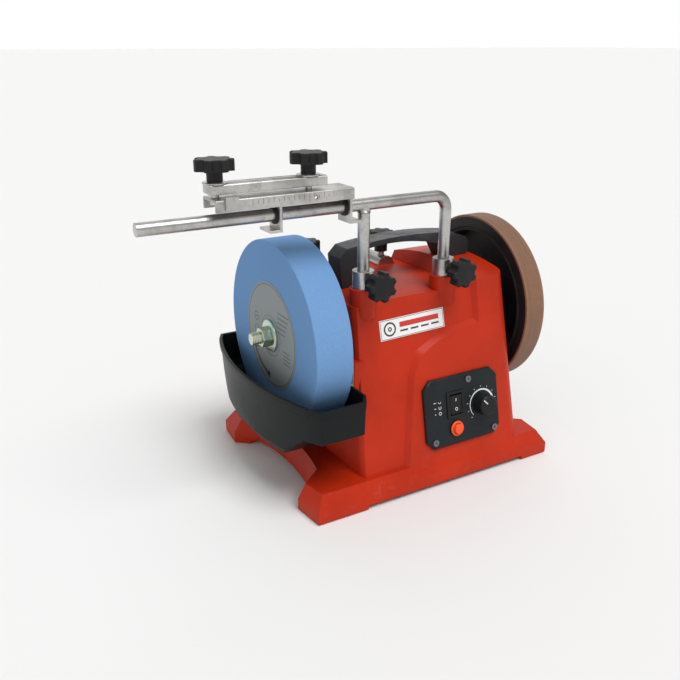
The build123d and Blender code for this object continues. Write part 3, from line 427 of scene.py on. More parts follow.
FINISHES = {
    "housing_red": red_enamel,
    "sheet_steel": lambda c: zinc("sheet_steel", c),
    "black_rubber": rubber,
    "steel_screw": lambda c: zinc("plated_screw", c, 0.28),
    "handle_grey": handle_plastic,
    "bronze": lambda c: cast_grain("sintered_bronze", c, 0.42, 0.9),
    "bright_steel": lambda c: steel("bright_steel", c),
    "black_plastic": lambda c: moulded("black_plastic", c),
    "panel_black": lambda c: moulded("panel_satin", c, 1100, 0.00004, 0.42),
    "screw_black": lambda c: zinc("blackened_screw", c, 0.36),
    "board_green": circuit_board,
    "motor_steel": lambda c: cast_grain("motor_paint", c, 0.45, 0.2),
    "copper": copper,
    "magnet": lambda c: cast_grain("ferrite", c, 0.6, 0.3),
    "label_white": lambda c: printed_film("white_film", c),
    "stone_blue": grindstone,
    "label_grey": lambda c: printed_film("grey_paper", c, 0.5, 0.4),
    "zinc_yellow": yellow_zinc,
    "leather_brown": honing_leather,
    "trough_black": trough_plastic,
    "button_orange": lambda c: moulded("button_gloss", c, 900, 0.00002, 0.22),
    "nylon_black": lambda c: moulded("nylon", c, 500, 0.00005, 0.5),
    "jig_steel": lambda c: steel("jig_steel", c, 0.27, 0.2),
    "ink_white": lambda c: ink("ink_white", c),
    "dark_ink_and_recess_shade": lambda c: ink("dark_ink_and_recess_shade", c),
    "ink_red": lambda c: ink("ink_red", c),
}


def finish_of(slot):
    """The material of a slot, made the first time that it is asked for."""
    found = bpy.data.materials.get("made_" + slot)
    if found is None:
        colours = bpy.context.scene.sharpener_colours
        found = FINISHES[slot](tuple(getattr(colours, slot)))
        found.name = "made_" + slot
    return found


def dress(node, slot, round_over=0.0, segments=2):
    """Gives a CAD node its finish, and rounds its sharp edges over."""
    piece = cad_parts[node]
    material = finish_of(slot)
    if not piece.material_slots:
        piece.data.materials.append(material)
    for place in piece.material_slots:
        place.material = material
    if round_over:
        weld = piece.modifiers.new("weld", "WELD")
        weld.merge_threshold = 0.00002
        bevel = piece.modifiers.new("round_over", "BEVEL")
        bevel.width = round_over * MM
        bevel.segments = segments
        bevel.limit_method = "ANGLE"
        bevel.angle_limit = math.radians(32)
        bevel.use_clamp_overlap = True
        bevel.miter_outer = "MITER_ARC"
        normals = piece.modifiers.new("normals", "WEIGHTED_NORMAL")
        normals.keep_sharp = False
    return piece


# ------------------------------------------------------------------ mesh code
def add_piece(name, mesh, slot, body, smooth=35.0):
    """Makes a piece of a bmesh, finishes it and sets it riding on its body."""
    bmesh.ops.remove_doubles(mesh, verts=mesh.verts, dist=1e-6)
    bmesh.ops.recalc_face_normals(mesh, faces=mesh.faces)
    data = bpy.data.meshes.new(name)
    mesh.to_mesh(data)
    mesh.free()
    data.shade_smooth()
    data.set_sharp_from_angle(angle=math.radians(smooth))
    data.materials.append(finish_of(slot))
    piece = bpy.data.objects.new(name, data)
    bpy.context.scene.collection.objects.link(piece)
    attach(piece, body)
    return piece


def facing(origin, normal, across=(1, 0, 0)):
    """A frame whose z is the normal and whose x lies along across."""
    z = Vector(normal).normalized()
    x = Vector(across)
    x = (x - z * x.dot(z)).normalized()
    y = z.cross(x)
    return Matrix.Translation(origin) @ Matrix((x, y, z)).transposed().to_4x4()


def on_front(x=0.0, y=0.0, level=0.0):
    """A frame on the sloping front, at millimetres across and up it, raised by level metres."""
    foot = facing(FRONT_FOOT, Vector((0, -1, FRONT_LEAN)).normalized())
    return foot @ Matrix.Translation((x * MM, y * MM, level))


def on_axle(x, way=1, across=1):
    """A frame on the wheels' axle at x metres, looking along it, with its x towards y."""
    return facing((x, 0, AXLE_Z), (way, 0, 0), (0, across, 0))


def prism(mesh, outline, frame_at, low, high, taper=0.0):
    """A closed outline in millimetres, raised from low to high metres in its frame."""
    middle = Vector((sum(p[0] for p in outline), sum(p[1] for p in outline))) / len(outline)
    rings = []
    for level, pull in ((low, 0.0), (high, taper)):
        ring = []
        for point in outline:
            flat = Vector(point[:2])
            flat = flat + (middle - flat) * pull
            ring.append(mesh.verts.new(frame_at @ Vector((flat.x * MM, flat.y * MM, level))))
        rings.append(ring)
    count = len(outline)
    for i in range(count):
        j = (i + 1) % count
        mesh.faces.new((rings[0][i], rings[0][j], rings[1][j], rings[1][i]))
    mesh.faces.new(rings[1])
    mesh.faces.new(list(reversed(rings[0])))


def lathe(mesh, profile, frame_at, steps):
    """A closed profile of (radius, height) in millimetres turned about the frame's z."""
    rings = []
    for i in range(steps):
        turn = math.radians(360 * i / steps)
        ring = [
            mesh.verts.new(frame_at @ Vector((r * math.cos(turn), r * math.sin(turn), h)))
            for r, h in ((a * MM, b * MM) for a, b in profile)
        ]
        rings.append(ring)
    size = len(profile)
    for i, here in enumerate(rings):
        there = rings[(i + 1) % steps]
        for k in range(size):
            m = (k + 1) % size
            mesh.faces.new((here[k], there[k], there[m], here[m]))


def turned(name, profile, frame_at, steps, slot, body, smooth=35.0):
    """A piece of one lathed profile."""
    mesh = bmesh.new()
    lathe(mesh, profile, frame_at, steps)
    return add_piece(name, mesh, slot, body, smooth)


def end_thread(name, frame_at, length, pitch):
    """The single-start thread ridge of a shaft end, fading out at both its ends."""
    radius, depth, steps = SHAFT_RADIUS, 0.45, 28
    mesh = bmesh.new()
    turns = length / pitch
    count = int(turns * steps)
    rings = []
    for i in range(count + 1):
        share = i / count
        turn = 2 * math.pi * turns * share
        fade = min(1.0, share * turns * 2, (1 - share) * turns * 2)
        height = length * share
        crest = radius + depth * max(0.05, fade)
        half = pitch * 0.42
        ring = []
        for r, h in ((radius - 0.05, height - half), (crest, height), (radius - 0.05, height + half)):
            spot = Vector((r * math.cos(turn) * MM, r * math.sin(turn) * MM, h * MM))
            ring.append(mesh.verts.new(frame_at @ spot))
        rings.append(ring)
    for here, there in zip(rings, rings[1:]):
        for k in range(3):
            m = (k + 1) % 3
            mesh.faces.new((here[k], there[k], there[m], here[m]))
    mesh.faces.new(rings[0])
    mesh.faces.new(list(reversed(rings[-1])))
    return add_piece(name, mesh, "zinc_yellow", "spindle")


def bar(x, y, width, height, turn=0.0):
    """A rectangle's outline about (x, y), in millimetres."""
    c, s = math.cos(math.radians(turn)), math.sin(math.radians(turn))
    corners = ((-1, -1), (1, -1), (1, 1), (-1, 1))
    spots = [(a * width / 2, b * height / 2) for a, b in corners]
    return [(x + a * c - b * s, y + a * s + b * c) for a, b in spots]


def arc_strips(x, y, inner, outer, start, end, steps):
    """A band of a circle about (x, y), as small four-sided outlines.

    inner and outer are pairs of radii, for the band's start and its end.
    """

    def along(radii, i):
        share = i / steps
        turn = math.radians(start + (end - start) * share)
        r = radii[0] + (radii[1] - radii[0]) * share
        return (x + r * math.cos(turn), y + r * math.sin(turn))

    return [
        (along(outer, i), along(outer, i + 1), along(inner, i + 1), along(inner, i))
        for i in range(steps)
    ]


def ring_strips(x, y, inner, outer, steps):
    """A whole ring about (x, y), as small four-sided outlines."""
    return arc_strips(x, y, (inner, inner), (outer, outer), 0, 360, steps)


def printed(name, outlines, frame_at, low, slot, body, thick=0.06 * MM):
    """Ink shapes standing a hair above the surface that they are printed on."""
    mesh = bmesh.new()
    for outline in outlines:
        prism(mesh, outline, frame_at, low, low + thick)
    return add_piece(name, mesh, slot, body)


def middle_of(node):
    low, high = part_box(node)
    return (low + high) / 2


def screw_recess_shade(name, places, frame_at, level, reach, body):
    """Painted shade in the cross recesses of screw heads, as two dark slots each."""
    outlines = []
    for x, y in places:
        outlines += [bar(x, y, reach, reach * 0.22, 25), bar(x, y, reach * 0.22, reach, 25)]
    return printed(name, outlines, frame_at, level, "dark_ink_and_recess_shade", body, 0.08 * MM)


# ------------------------------------------------------------------ sizes and colours
def colour_property(name, description, colour):
    return bpy.props.FloatVectorProperty(
        name=name, description=description, subtype="COLOR", size=3, min=0, max=1, default=colour
    )


def length_property(name, description, millimetres):
    return bpy.props.FloatProperty(
        name=name, description=description, default=millimetres, min=0.0, max=20.0
    )


COLOURS = {
    "housing_red": ("Housing", "Enamel of the cast housing", (0.455, 0.023, 0.004)),
    "sheet_steel": ("Sheet steel", "Bottom plate, brackets and clips", (0.55, 0.55, 0.54)),
    "black_rubber": ("Rubber", "Feet and friction ring", (0.02, 0.02, 0.02)),
    "steel_screw": ("Screws", "Plated screws", (0.58, 0.58, 0.57)),
    "handle_grey": ("Handle", "Carry handle plastic", (0.022, 0.024, 0.026)),
    "bronze": ("Bronze", "Bushes and lock pads", (0.52, 0.33, 0.14)),
    "bright_steel": ("Bar", "Support bar and its sleeves", (0.50, 0.49, 0.475)),
    "black_plastic": ("Black plastic", "Knobs, rocker and wheel hub", (0.010, 0.010, 0.011)),
    "panel_black": ("Panel", "Control panel", (0.009, 0.012, 0.014)),
    "board_green": ("Board", "Circuit board", (0.01, 0.09, 0.03)),
    "motor_steel": ("Motor", "Motor can", (0.05, 0.05, 0.055)),
    "copper": ("Copper", "Motor windings", (0.45, 0.17, 0.07)),
    "magnet": ("Magnet", "Motor magnets", (0.06, 0.06, 0.06)),
    "label_white": ("Label", "Front label film", (0.80, 0.80, 0.79)),
    "stone_blue": ("Stone", "Grindstone", (0.145, 0.305, 0.58)),
    "label_grey": ("Wheel label", "Paper disc on the grindstone", (0.25, 0.28, 0.29)),
    "zinc_yellow": ("Shaft zinc", "Shaft, washers and nuts", (0.58, 0.65, 0.65)),
    "leather_brown": ("Leather", "Honing leather", (0.205, 0.103, 0.061)),
    "trough_black": ("Trough", "Water trough plastic", (0.0055, 0.0065, 0.007)),
    "button_orange": ("Button", "Reset button", (0.72, 0.075, 0.015)),
    "nylon_black": ("Nylon", "Jig bushes", (0.02, 0.02, 0.02)),
    "jig_steel": ("Jig", "Jig sheet and clamp bar", (0.52, 0.505, 0.485)),
    "screw_black": ("Panel screws", "Blackened screws of the panel", (0.20, 0.20, 0.205)),
    "ink_white": ("White ink", "Printing on the panel", (0.75, 0.75, 0.74)),
    # This dark ink also paints the shade in the panel screws' cross recesses.
    "dark_ink_and_recess_shade": ("Dark ink", "Printing on the labels", (0.03, 0.03, 0.035)),
    "ink_red": ("Red ink", "Printing on the front label", (0.55, 0.03, 0.02)),
}


class SharpenerColours(bpy.types.PropertyGroup):
    """Colours of the sharpener's finishes."""

    __annotations__ = {slot: colour_property(*row) for slot, row in COLOURS.items()}


class SharpenerSizes(bpy.types.PropertyGroup):
    """Sizes of the small parts, in millimetres."""

    housing_round: length_property("Housing edge", "Rounding of the casting's edges, mm", 1.3)
    handle_round: length_property("Handle edge", "Rounding of the handle's edges, mm", 3.0)
    stone_round: length_property("Stone edge", "Broken edge of the grindstone, mm", 1.0)
    shaft_pitch: length_property("Shaft thread", "Thread pitch of the shaft ends, mm", 1.75)
    floor_drop: length_property("Floor gap", "How far the floor lies under the feet, mm", 0.2)


class SHARPENER_OT_housing(bpy.types.Operator):
    """Finish the cast housing, its feet, bottom plate and clips, and add the gland's ridges"""

    bl_idname = "sharpener.housing"
    bl_label = "Housing"

    def execute(self, context):
        sizes = context.scene.sharpener_sizes
        dress("housing_shell", "housing_red", sizes.housing_round, 3)
        dress("rubber_feet", "black_rubber", 0.6)
        dress("bottom_plate", "sheet_steel")
        dress("base_screws", "steel_screw", 0.3)
        dress("trough_clips", "sheet_steel", 0.3)
        dress("cable_gland", "black_plastic", 0.8)
        _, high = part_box("cable_gland")
        middle = middle_of("cable_gland")
        out = Vector((0, 1, FRONT_LEAN)).normalized()
        mesh = bmesh.new()
        centre = Vector((middle.x, high.y, middle.z + 2 * MM))
        for step in range(GLAND_RIDGES):
            at = facing(centre - out * (GLAND_FIRST + step * GLAND_PITCH) * MM, out)
            lathe(mesh, ((7.2, -0.6), (8.0, -0.3), (8.0, 0.3), (7.2, 0.6)), at, 40)
        add_piece("gland_ridges", mesh, "black_plastic", "housing")
        return {"FINISHED"}


class SHARPENER_OT_handle(bpy.types.Operator):
    """Finish the carry handle and its screws"""

    bl_idname = "sharpener.handle"
    bl_label = "Carry handle"

    def execute(self, context):
        dress("carry_handle", "handle_grey", context.scene.sharpener_sizes.handle_round, 4)
        dress("handle_screws", "steel_screw", 0.3)
        return {"FINISHED"}


class SHARPENER_OT_front_label(bpy.types.Operator):
    """Finish the front label and print its plain pictograms"""

    bl_idname = "sharpener.front_label"
    bl_label = "Front label"

    def execute(self, context):
        dress("front_label", "label_white", 0.15)
        at = on_front(*LABEL_AT) @ Matrix.Rotation(math.radians(LABEL_TILT), 4, "Z")
        dark = ring_strips(-28, 0, 5.6, 7.4, 40) + ring_strips(-28, 0, 1.0, 2.4, 20)
        dark += [bar(x, -3.9, 9.6, 1.8) for x in (-11, 2, 15, 28)]
        red = [bar(8.5, 2.6, 49, 5.4)]
        border = [bar(0, y, 78, 0.5) for y in (9.6, -9.6)] + [bar(x, 0, 0.5, 19) for x in (38.8, -38.8)]
        for name, marks, slot in (
            ("label_marks", dark, "dark_ink_and_recess_shade"),
            ("label_band", red, "ink_red"),
            ("label_border", border, "dark_ink_and_recess_shade"),
        ):
            printed(name, marks, at, LABEL_TOP, slot, "housing")
        return {"FINISHED"}


class SHARPENER_OT_grindstone(bpy.types.Operator):
    """Finish the grindstone, its paper disc with plain marks, and the clamping parts"""

    bl_idname = "sharpener.grindstone"
    bl_label = "Grindstone"

    def execute(self, context):
        sizes = context.scene.sharpener_sizes
        stone_low, stone_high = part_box("grinding_wheel")
        wide = (stone_high.x - stone_low.x) / MM
        outer = (stone_high.z - stone_low.z) / 2 / MM
        edge = sizes.stone_round
        bends = (0.0, 0.29, 0.71, 1.0)
        profile = [(STONE_BORE, 0.0), (30.0, 0.0), (60.0, 0.0), (outer - edge, 0.0)]
        for k in bends[1:]:
            turn = k * math.pi / 2
            profile.append((outer - edge * (1 - math.sin(turn)), edge * (1 - math.cos(turn))))
        profile += [(outer, wide * share) for share in (0.25, 0.5, 0.75)]
        for k in bends:
            turn = k * math.pi / 2
            profile.append((outer - edge * (1 - math.cos(turn)), wide - edge * (1 - math.sin(turn))))
        profile += [(60.0, wide), (30.0, wide), (STONE_BORE, wide)]
        stone = turned("grindstone", profile, on_axle(stone_low.x), 192, "stone_blue", "spindle", 50)
        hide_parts("grinding_wheel")
        dress("wheel_label", "label_grey", 0.1)
        dress("wheel_inner_flange", "black_plastic", 0.5)
        dress("wheel_washer", "zinc_yellow", 0.5)
        dress("wheel_nut", "zinc_yellow", 0.7)
        self.print_disc()
        shaft_low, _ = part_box("main_shaft")
        nut_low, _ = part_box("wheel_nut")
        rod = on_axle(shaft_low.x + THREAD_START * MM)
        length = (nut_low.x - shaft_low.x) / MM - THREAD_RELIEF
        end_thread("stone_end_thread", rod, length, sizes.shaft_pitch)
        washer_low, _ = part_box("wheel_washer")
        face = ((11.2, -0.1), (11.2, 0.25), (15.6, 0.25), (16.2, -0.1))
        turned("stone_washer_face", face, on_axle(washer_low.x, -1), 64, "zinc_yellow", "spindle")
        return {"FINISHED"}

    def print_disc(self):
        """The paper disc's plain marks: rings, an arrow for the way of turning, and rows."""
        low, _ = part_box("wheel_label")
        dark = ring_strips(0, 0, LABEL_RADIUS, LABEL_RADIUS + 0.7, 96)
        dark += ring_strips(0, 0, 21.5, 22.0, 60)
        dark += arc_strips(0, 0, (45.0, 45.0), (47.5, 47.5), 200, 262, 24)
        dark.append(((-12.5, -45.5), (-5.5, -42.0), (-5.5, -50.5)))
        for row in range(5):
            dark.append(bar(30 - row * 1.5, 30 - row * 5.2, 26 - row * 2, 1.0))
        for row in range(4):
            dark.append(bar(36, -8 - row * 4.2, 15, 0.8))
        for k in range(3):
            dark += ring_strips(-34, 12 - 15 * k, 4.4, 5.2, 24)
            dark.append(bar(-34, 12 - 15 * k, 5.5, 0.9, 35 * k + 20))
        at = on_axle(low.x, -1, -1)
        printed("disc_marks", dark, at, 0.0, "dark_ink_and_recess_shade", "spindle", 0.05 * MM)


class SHARPENER_OT_honing_wheel(bpy.types.Operator):
    """Finish the honing wheel, and add its leather, the hub's rings and ribs and the thread"""

    bl_idname = "sharpener.honing_wheel"
    bl_label = "Honing wheel"

    def execute(self, context):
        sizes = context.scene.sharpener_sizes
        dress("honing_hub", "black_plastic", 0.8)
        low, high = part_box("honing_leather")
        reach = (high.z - low.z) / 2 / MM
        wide = (high.x - low.x) / MM
        hub_low, hub_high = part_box("honing_hub")
        under = (hub_high.z - hub_low.z) / 2 / MM
        profile = [(under, 0.0), (under, wide)]
        for k in range(LEATHER_STEPS + 1):
            share = k / LEATHER_STEPS
            edge_in = min(share, 1 - share) * wide
            drop = LEATHER_ROLL * max(0.0, 1 - edge_in / LEATHER_ROLL_WIDTH) ** 2
            profile.append((reach - drop, wide * (1 - share)))
        strip = turned("honing_strip", profile, on_axle(low.x), 192, "leather_brown", "spindle", 60)
        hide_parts("honing_leather")
        dress("drive_ring", "black_rubber")
        dress("honing_washer", "zinc_yellow", 0.5)
        dress("honing_nut", "zinc_yellow", 0.7)
        face = on_axle(hub_high.x)
        mesh = bmesh.new()
        ridge = ((-1.8, -0.2), (-0.8, 0.9), (0.8, 0.9), (1.8, -0.2))
        for radius in HUB_RING_RADII:
            lathe(mesh, [(radius + out, up) for out, up in ridge], face, 96)
        rib = bar(HUB_RIB_MIDDLE, 0, HUB_RIB_LENGTH, HUB_RIB_WIDTH)
        for k in range(HUB_RIBS):
            turn = face @ Matrix.Rotation(2 * math.pi * (k + 0.5) / HUB_RIBS, 4, "Z")
            prism(mesh, rib, turn, -0.2 * MM, 0.8 * MM, 0.02)
        add_piece("hub_ribs", mesh, "black_plastic", "spindle")
        arrow = arc_strips(0, 0, (72.0, 72.0), (74.0, 74.0), 106, 136, 20)
        arrow.append(((-20.6, 66.9), (-11.5, 72.0), (-22.0, 74.0)))
        printed("hub_arrow", arrow, face, 0.0, "ink_white", "spindle")
        _, shaft_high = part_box("main_shaft")
        _, nut_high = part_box("honing_nut")
        rod = on_axle(shaft_high.x - THREAD_START * MM, -1)
        length = (shaft_high.x - nut_high.x) / MM - THREAD_RELIEF
        end_thread("honing_end_thread", rod, length, sizes.shaft_pitch)
        self.make_seam(low.x, wide * MM, reach)
        return {"FINISHED"}

    def make_seam(self, start, wide, reach):
        """The slanting joint of the leather strip's two ends."""
        mesh = bmesh.new()
        radius = (reach + SEAM_LIFT) * MM
        step = wide / SEAM_STEPS
        for k in range(SEAM_STEPS):
            spots = []
            for done in (k, k + 1):
                turn = math.radians(SEAM_START + SEAM_SWEEP * done / SEAM_STEPS)
                for side in (-1, 1):
                    angle = turn + side * SEAM_HALF_WIDTH / reach
                    up = AXLE_Z + radius * math.cos(angle)
                    spots.append((start + done * step, radius * math.sin(angle), up))
            ring = [mesh.verts.new(spot) for spot in spots]
            mesh.faces.new((ring[0], ring[1], ring[3], ring[2]))
        add_piece("leather_seam", mesh, "dark_ink_and_recess_shade", "spindle")


class SHARPENER_OT_drive(bpy.types.Operator):
    """Finish the shaft, its bushes and the motor inside the housing"""

    bl_idname = "sharpener.drive"
    bl_label = "Shaft and motor"

    def execute(self, context):
        for node, slot in (
            ("main_shaft", "zinc_yellow"),
            ("shaft_bushes", "bronze"),
            ("motor_bracket", "sheet_steel"),
            ("motor_can", "motor_steel"),
            ("motor_bearings", "steel_screw"),
            ("motor_magnets", "magnet"),
            ("motor_shaft", "steel_screw"),
            ("motor_armature", "copper"),
            ("switch_housing", "black_plastic"),
            ("breaker_body", "black_plastic"),
            ("potentiometer", "sheet_steel"),
            ("control_board", "board_green"),
        ):
            dress(node, slot, 0.4)
        return {"FINISHED"}


class SHARPENER_OT_trough(bpy.types.Operator):
    """Finish the water trough"""

    bl_idname = "sharpener.trough"
    bl_label = "Water trough"

    def execute(self, context):
        dress("trough", "trough_black", 0.9, 3)
        return {"FINISHED"}


class SHARPENER_OT_tool_support(bpy.types.Operator):
    """Finish the upright tool support and its sleeves, and add the weld of its leg"""

    bl_idname = "sharpener.tool_support"
    bl_label = "Tool support"

    def execute(self, context):
        dress("support_bar", "bright_steel", 0.8)
        dress("support_leg", "bright_steel", 0.4)
        dress("front_sleeves", "bright_steel", 0.8)
        dress("rear_sleeves", "bright_steel", 0.8)
        _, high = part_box("support_leg")
        joint = facing((middle_of("support_leg").x, BAR_Y, high.z - 7.2 * MM), (0, 0, 1))
        bead = ((5.9, -1.2), (6.5, -0.5), (6.7, 0.4), (6.2, 1.4), (5.9, 1.9))
        turned("leg_weld", bead, joint, 48, "bright_steel", "tool_support")
        return {"FINISHED"}


class SHARPENER_OT_lock_knobs(bpy.types.Operator):
    """Finish the four lock knobs and add the domed caps on their faces"""

    bl_idname = "sharpener.lock_knobs"
    bl_label = "Lock knobs"

    def execute(self, context):
        for place, normal in (("front", (0, -1, 0)), ("rear", (0, 0, 1))):
            for side in SIDES:
                knob = f"{place}_lock_knob_{side}"
                body = f"{place}_lock_{side}"
                dress(knob, "black_plastic", 1.1, 3)
                dress(f"{place}_lock_screw_{side}", "steel_screw", 0.4)
                dress(f"{place}_lock_pad_{side}", "bronze")
                centre = middle_of(knob)
                low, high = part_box(knob)
                if place == "front":
                    top = Vector((centre.x, low.y, centre.z))
                else:
                    top = Vector((centre.x, centre.y, high.z))
                dome = ((0.01, -0.3), (0.01, 0.55), (3.0, 0.45), (5.2, 0.22), (6.4, 0.04), (6.6, -0.3))
                turned(f"{knob}_cap", dome, facing(top, normal), 40, "black_plastic", body)
        return {"FINISHED"}


class SHARPENER_OT_jig(bpy.types.Operator):
    """Finish the straight-edge jig and add its washers and scale"""

    bl_idname = "sharpener.jig"
    bl_label = "Straight-edge jig"

    def execute(self, context):
        dress("jig_channel", "jig_steel", 0.6)
        dress("jig_hangers", "jig_steel", 0.4)
        dress("jig_studs", "steel_screw", 0.3)
        dress("jig_clamp_bar", "jig_steel", 0.8)
        dress("jig_bushes", "nylon_black", 0.5)
        _, clamp_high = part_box("jig_clamp_bar")
        for side in SIDES:
            knob = f"jig_knob_{side}"
            dress(knob, "black_plastic", 1.0, 3)
            at = facing((middle_of(knob).x, BAR_Y, clamp_high.z), (0, 0, 1))
            washer = ((6.6, 0.02), (6.6, 1.2), (10.2, 1.2), (10.8, 0.7), (10.8, 0.02))
            turned(f"jig_washer_{side}", washer, at, 48, "steel_screw", "jig_clamp")
        low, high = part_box("jig_channel")
        at = facing((low.x, low.y + 3.0 * MM, (low.z + high.z) / 2), (0, -1, 0))
        long_mark, short_mark = (0.4, 0.35, 4.8), (-0.5, 0.35, 3.0)
        marks = [bar(34 + 5 * k, *(short_mark if k % 2 else long_mark)) for k in range(17)]
        printed("jig_scale", marks, at, 0.0, "dark_ink_and_recess_shade", "jig_frame", 0.04 * MM)
        return {"FINISHED"}


class SHARPENER_OT_panel(bpy.types.Operator):
    """Finish the control panel, its rocker, knob and button, and add their marks and the boot"""

    bl_idname = "sharpener.panel"
    bl_label = "Control panel"

    def execute(self, context):
        dress("control_panel", "panel_black", 0.7)
        dress("panel_screws", "screw_black", 0.3)
        dress("rocker", "black_plastic", 0.5)
        dress("speed_knob", "black_plastic", 0.9, 3)
        dress("reset_button", "button_orange", 0.9, 3)
        at = on_front()
        self.print_symbols(at)
        # Painted shade: dark slots where the panel screws' cross recesses lie.
        screw_recess_shade("panel_screw_recess_shade", PANEL_SCREWS, at, PANEL_TOP + 1.4 * MM, 3.6, "housing")
        self.print_rocker()
        boot = ((5.9, -0.2), (5.9, 2.5), (6.3, 2.9), (7.4, 2.8), (8.5, 1.8), (9.0, 0.3), (9.0, -0.2))
        turned("reset_boot", boot, on_front(*BUTTON_AT, PANEL_TOP), 48, "button_orange", "housing")
        self.add_speed_knob(at)
        return {"FINISHED"}

    def print_symbols(self, at):
        """The speed scale's arc and marks, and the plain figures beside the rocker."""
        x, y = SPEED_AT
        end = SPEED_START - SPEED_SWEEP
        white = arc_strips(x, y, (15.4, 14.6), (15.9, 17.4), SPEED_START, end, 48)
        for k in range(SPEED_MARKS):
            degrees = SPEED_START - SPEED_SWEEP * k / (SPEED_MARKS - 1)
            turn = math.radians(degrees)
            white.append(bar(x + 19.2 * math.cos(turn), y + 19.2 * math.sin(turn), 1.6, 0.45, degrees))
        for k in range(3):
            row = 50.5 + 6.2 * k
            white += arc_strips(3.0, row, (1.3, 1.3), (1.8, 1.8), 90 + 40 * k, 450 - 40 * k, 20)
            white.append(bar(-3.2, row, 1.6 + k, 0.6))
        printed("panel_symbols", white, at, PANEL_TOP, "ink_white", "housing")

    def print_rocker(self):
        """The bar and the ring on the rocker's two halves."""
        x, y = ROCKER_AT
        on_mark = [bar(0, 0, 0.8, 3.4)]
        off_mark = ring_strips(0, 0, 1.2, 1.8, 24)
        for name, way, marks in (("rocker_on", 1, on_mark), ("rocker_off", -1, off_mark)):
            tilt = Matrix.Rotation(math.radians(8.5 * way), 4, "X")
            face = on_front(x, y + 5 * way, ROCKER_LEVEL) @ tilt
            printed(name, marks, face, 0.0, "ink_white", "rocker")

    def add_speed_knob(self, at):
        """The speed knob's flutes and its pointer line."""
        x, y = SPEED_AT
        mesh = bmesh.new()
        knob_at = on_front(x, y, PANEL_TOP + 0.5 * MM)
        for k in range(KNOB_FLUTES):
            spin = knob_at @ Matrix.Rotation(2 * math.pi * k / KNOB_FLUTES, 4, "Z")
            prism(mesh, bar(FLUTE_RADIUS, 0, 0.5, 1.1), spin, 1.0 * MM, 11.0 * MM)
        add_piece("speed_knob_flutes", mesh, "black_plastic", "speed_knob")
        pointer = [bar(x - 4.6, y + 4.6, 7.0, 1.1, 135)]
        top = PANEL_TOP + 13.5 * MM
        printed("speed_knob_pointer", pointer, at, top, "ink_white", "speed_knob")


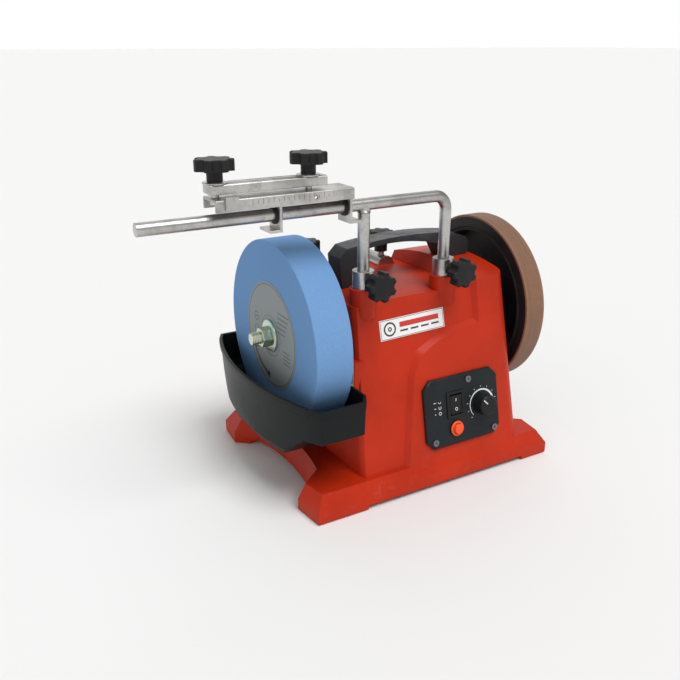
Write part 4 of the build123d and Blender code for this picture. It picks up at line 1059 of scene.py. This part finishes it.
class SHARPENER_OT_stage(bpy.types.Operator):
    """Make the pale floor, the soft lights and the camera"""

    bl_idname = "sharpener.stage"
    bl_label = "Stage"

    def execute(self, context):
        scene = context.scene
        self.make_floor(scene)
        self.make_lights(scene)
        self.make_sky(scene)
        self.make_camera(scene)
        return {"FINISHED"}

    def make_floor(self, scene):
        drop = scene.sharpener_sizes.floor_drop * MM
        mesh = bmesh.new()
        bmesh.ops.create_grid(mesh, x_segments=1, y_segments=1, size=FLOOR_REACH)
        data = bpy.data.meshes.new("floor")
        mesh.to_mesh(data)
        mesh.free()
        floor = bpy.data.objects.new("floor", data)
        floor.location.z = CAD_BOX[0].z - drop
        pale = Finish("pale_floor", roughness=0.9, Specular_IOR_Level=0.1)
        pale.set("Base Color", FLOOR_PAINT)
        data.materials.append(pale.material)
        scene.collection.objects.link(floor)

    def make_lights(self, scene):
        centre = (CAD_BOX[0] + CAD_BOX[1]) / 2
        for name, toward, softness, strength in SUNS:
            lamp = bpy.data.lights.new(name, "SUN")
            lamp.angle = math.radians(softness)
            lamp.energy = strength
            light = bpy.data.objects.new(name, lamp)
            light.location = centre + Vector(toward)
            light.rotation_euler = Vector(toward).to_track_quat("Z", "Y").to_euler()
            scene.collection.objects.link(light)

    def make_sky(self, scene):
        """A studio sky: white at the horizon, greyer above it."""
        world = bpy.data.worlds.new("studio")
        world.use_nodes = True
        tree = world.node_tree
        sky = tree.nodes["Background"]
        place = tree.nodes.new("ShaderNodeTexCoord")
        height = tree.nodes.new("ShaderNodeSeparateXYZ")
        fade = tree.nodes.new("ShaderNodeValToRGB")
        stops = fade.color_ramp.elements
        stops.remove(stops[1])
        stops[0].color = (1.0, 1.0, 1.0, 1.0)
        for level, grey in SKY_GREYS:
            stops.new(level).color = (grey, grey, grey, 1.0)
        tree.links.new(place.outputs["Generated"], height.inputs[0])
        tree.links.new(height.outputs["Z"], fade.inputs[0])
        tree.links.new(fade.outputs[0], sky.inputs["Color"])
        sky.inputs["Strength"].default_value = 1.0
        scene.world = world
        scene.view_settings.view_transform = "Standard"

    def make_camera(self, scene):
        lens = bpy.data.cameras.new("camera")
        lens.lens = LENS_LENGTH
        lens.sensor_width = SENSOR_WIDTH
        lens.clip_start = 0.01
        camera = bpy.data.objects.new("camera", lens)
        camera.location = CAMERA_AT
        azimuth, elevation = math.radians(CAMERA_AZIMUTH), math.radians(CAMERA_ELEVATION)
        camera.rotation_euler = (math.pi / 2 - elevation, 0, azimuth)
        scene.collection.objects.link(camera)
        scene.camera = camera


class SHARPENER_PT_pieces(bpy.types.Panel):
    """Lists the sharpener's groups of pieces, its sizes and its colours."""

    bl_idname = "SHARPENER_PT_pieces"
    bl_label = "Sharpener"
    bl_space_type = "VIEW_3D"
    bl_region_type = "UI"
    bl_category = "Sharpener"

    def draw(self, context):
        for operator in OPERATORS:
            self.layout.operator(operator.bl_idname)
        for group in (context.scene.sharpener_sizes, context.scene.sharpener_colours):
            for name in group.bl_rna.properties.keys():
                if name not in ("rna_type", "name"):
                    self.layout.prop(group, name)


OPERATORS = (
    SHARPENER_OT_stage,
    SHARPENER_OT_housing,
    SHARPENER_OT_handle,
    SHARPENER_OT_front_label,
    SHARPENER_OT_grindstone,
    SHARPENER_OT_honing_wheel,
    SHARPENER_OT_drive,
    SHARPENER_OT_trough,
    SHARPENER_OT_tool_support,
    SHARPENER_OT_lock_knobs,
    SHARPENER_OT_jig,
    SHARPENER_OT_panel,
)
CLASSES = (SharpenerColours, SharpenerSizes, *OPERATORS, SHARPENER_PT_pieces)


def register():
    for piece_class in CLASSES:
        bpy.utils.register_class(piece_class)
    bpy.types.Scene.sharpener_colours = bpy.props.PointerProperty(type=SharpenerColours)
    bpy.types.Scene.sharpener_sizes = bpy.props.PointerProperty(type=SharpenerSizes)


def unregister():
    del bpy.types.Scene.sharpener_sizes
    del bpy.types.Scene.sharpener_colours
    for piece_class in reversed(CLASSES):
        bpy.utils.unregister_class(piece_class)


def main():
    register()
    for operator in OPERATORS:
        group, name = operator.bl_idname.split(".")
        getattr(getattr(bpy.ops, group), name)()


if __name__ == "__main__":
    main()
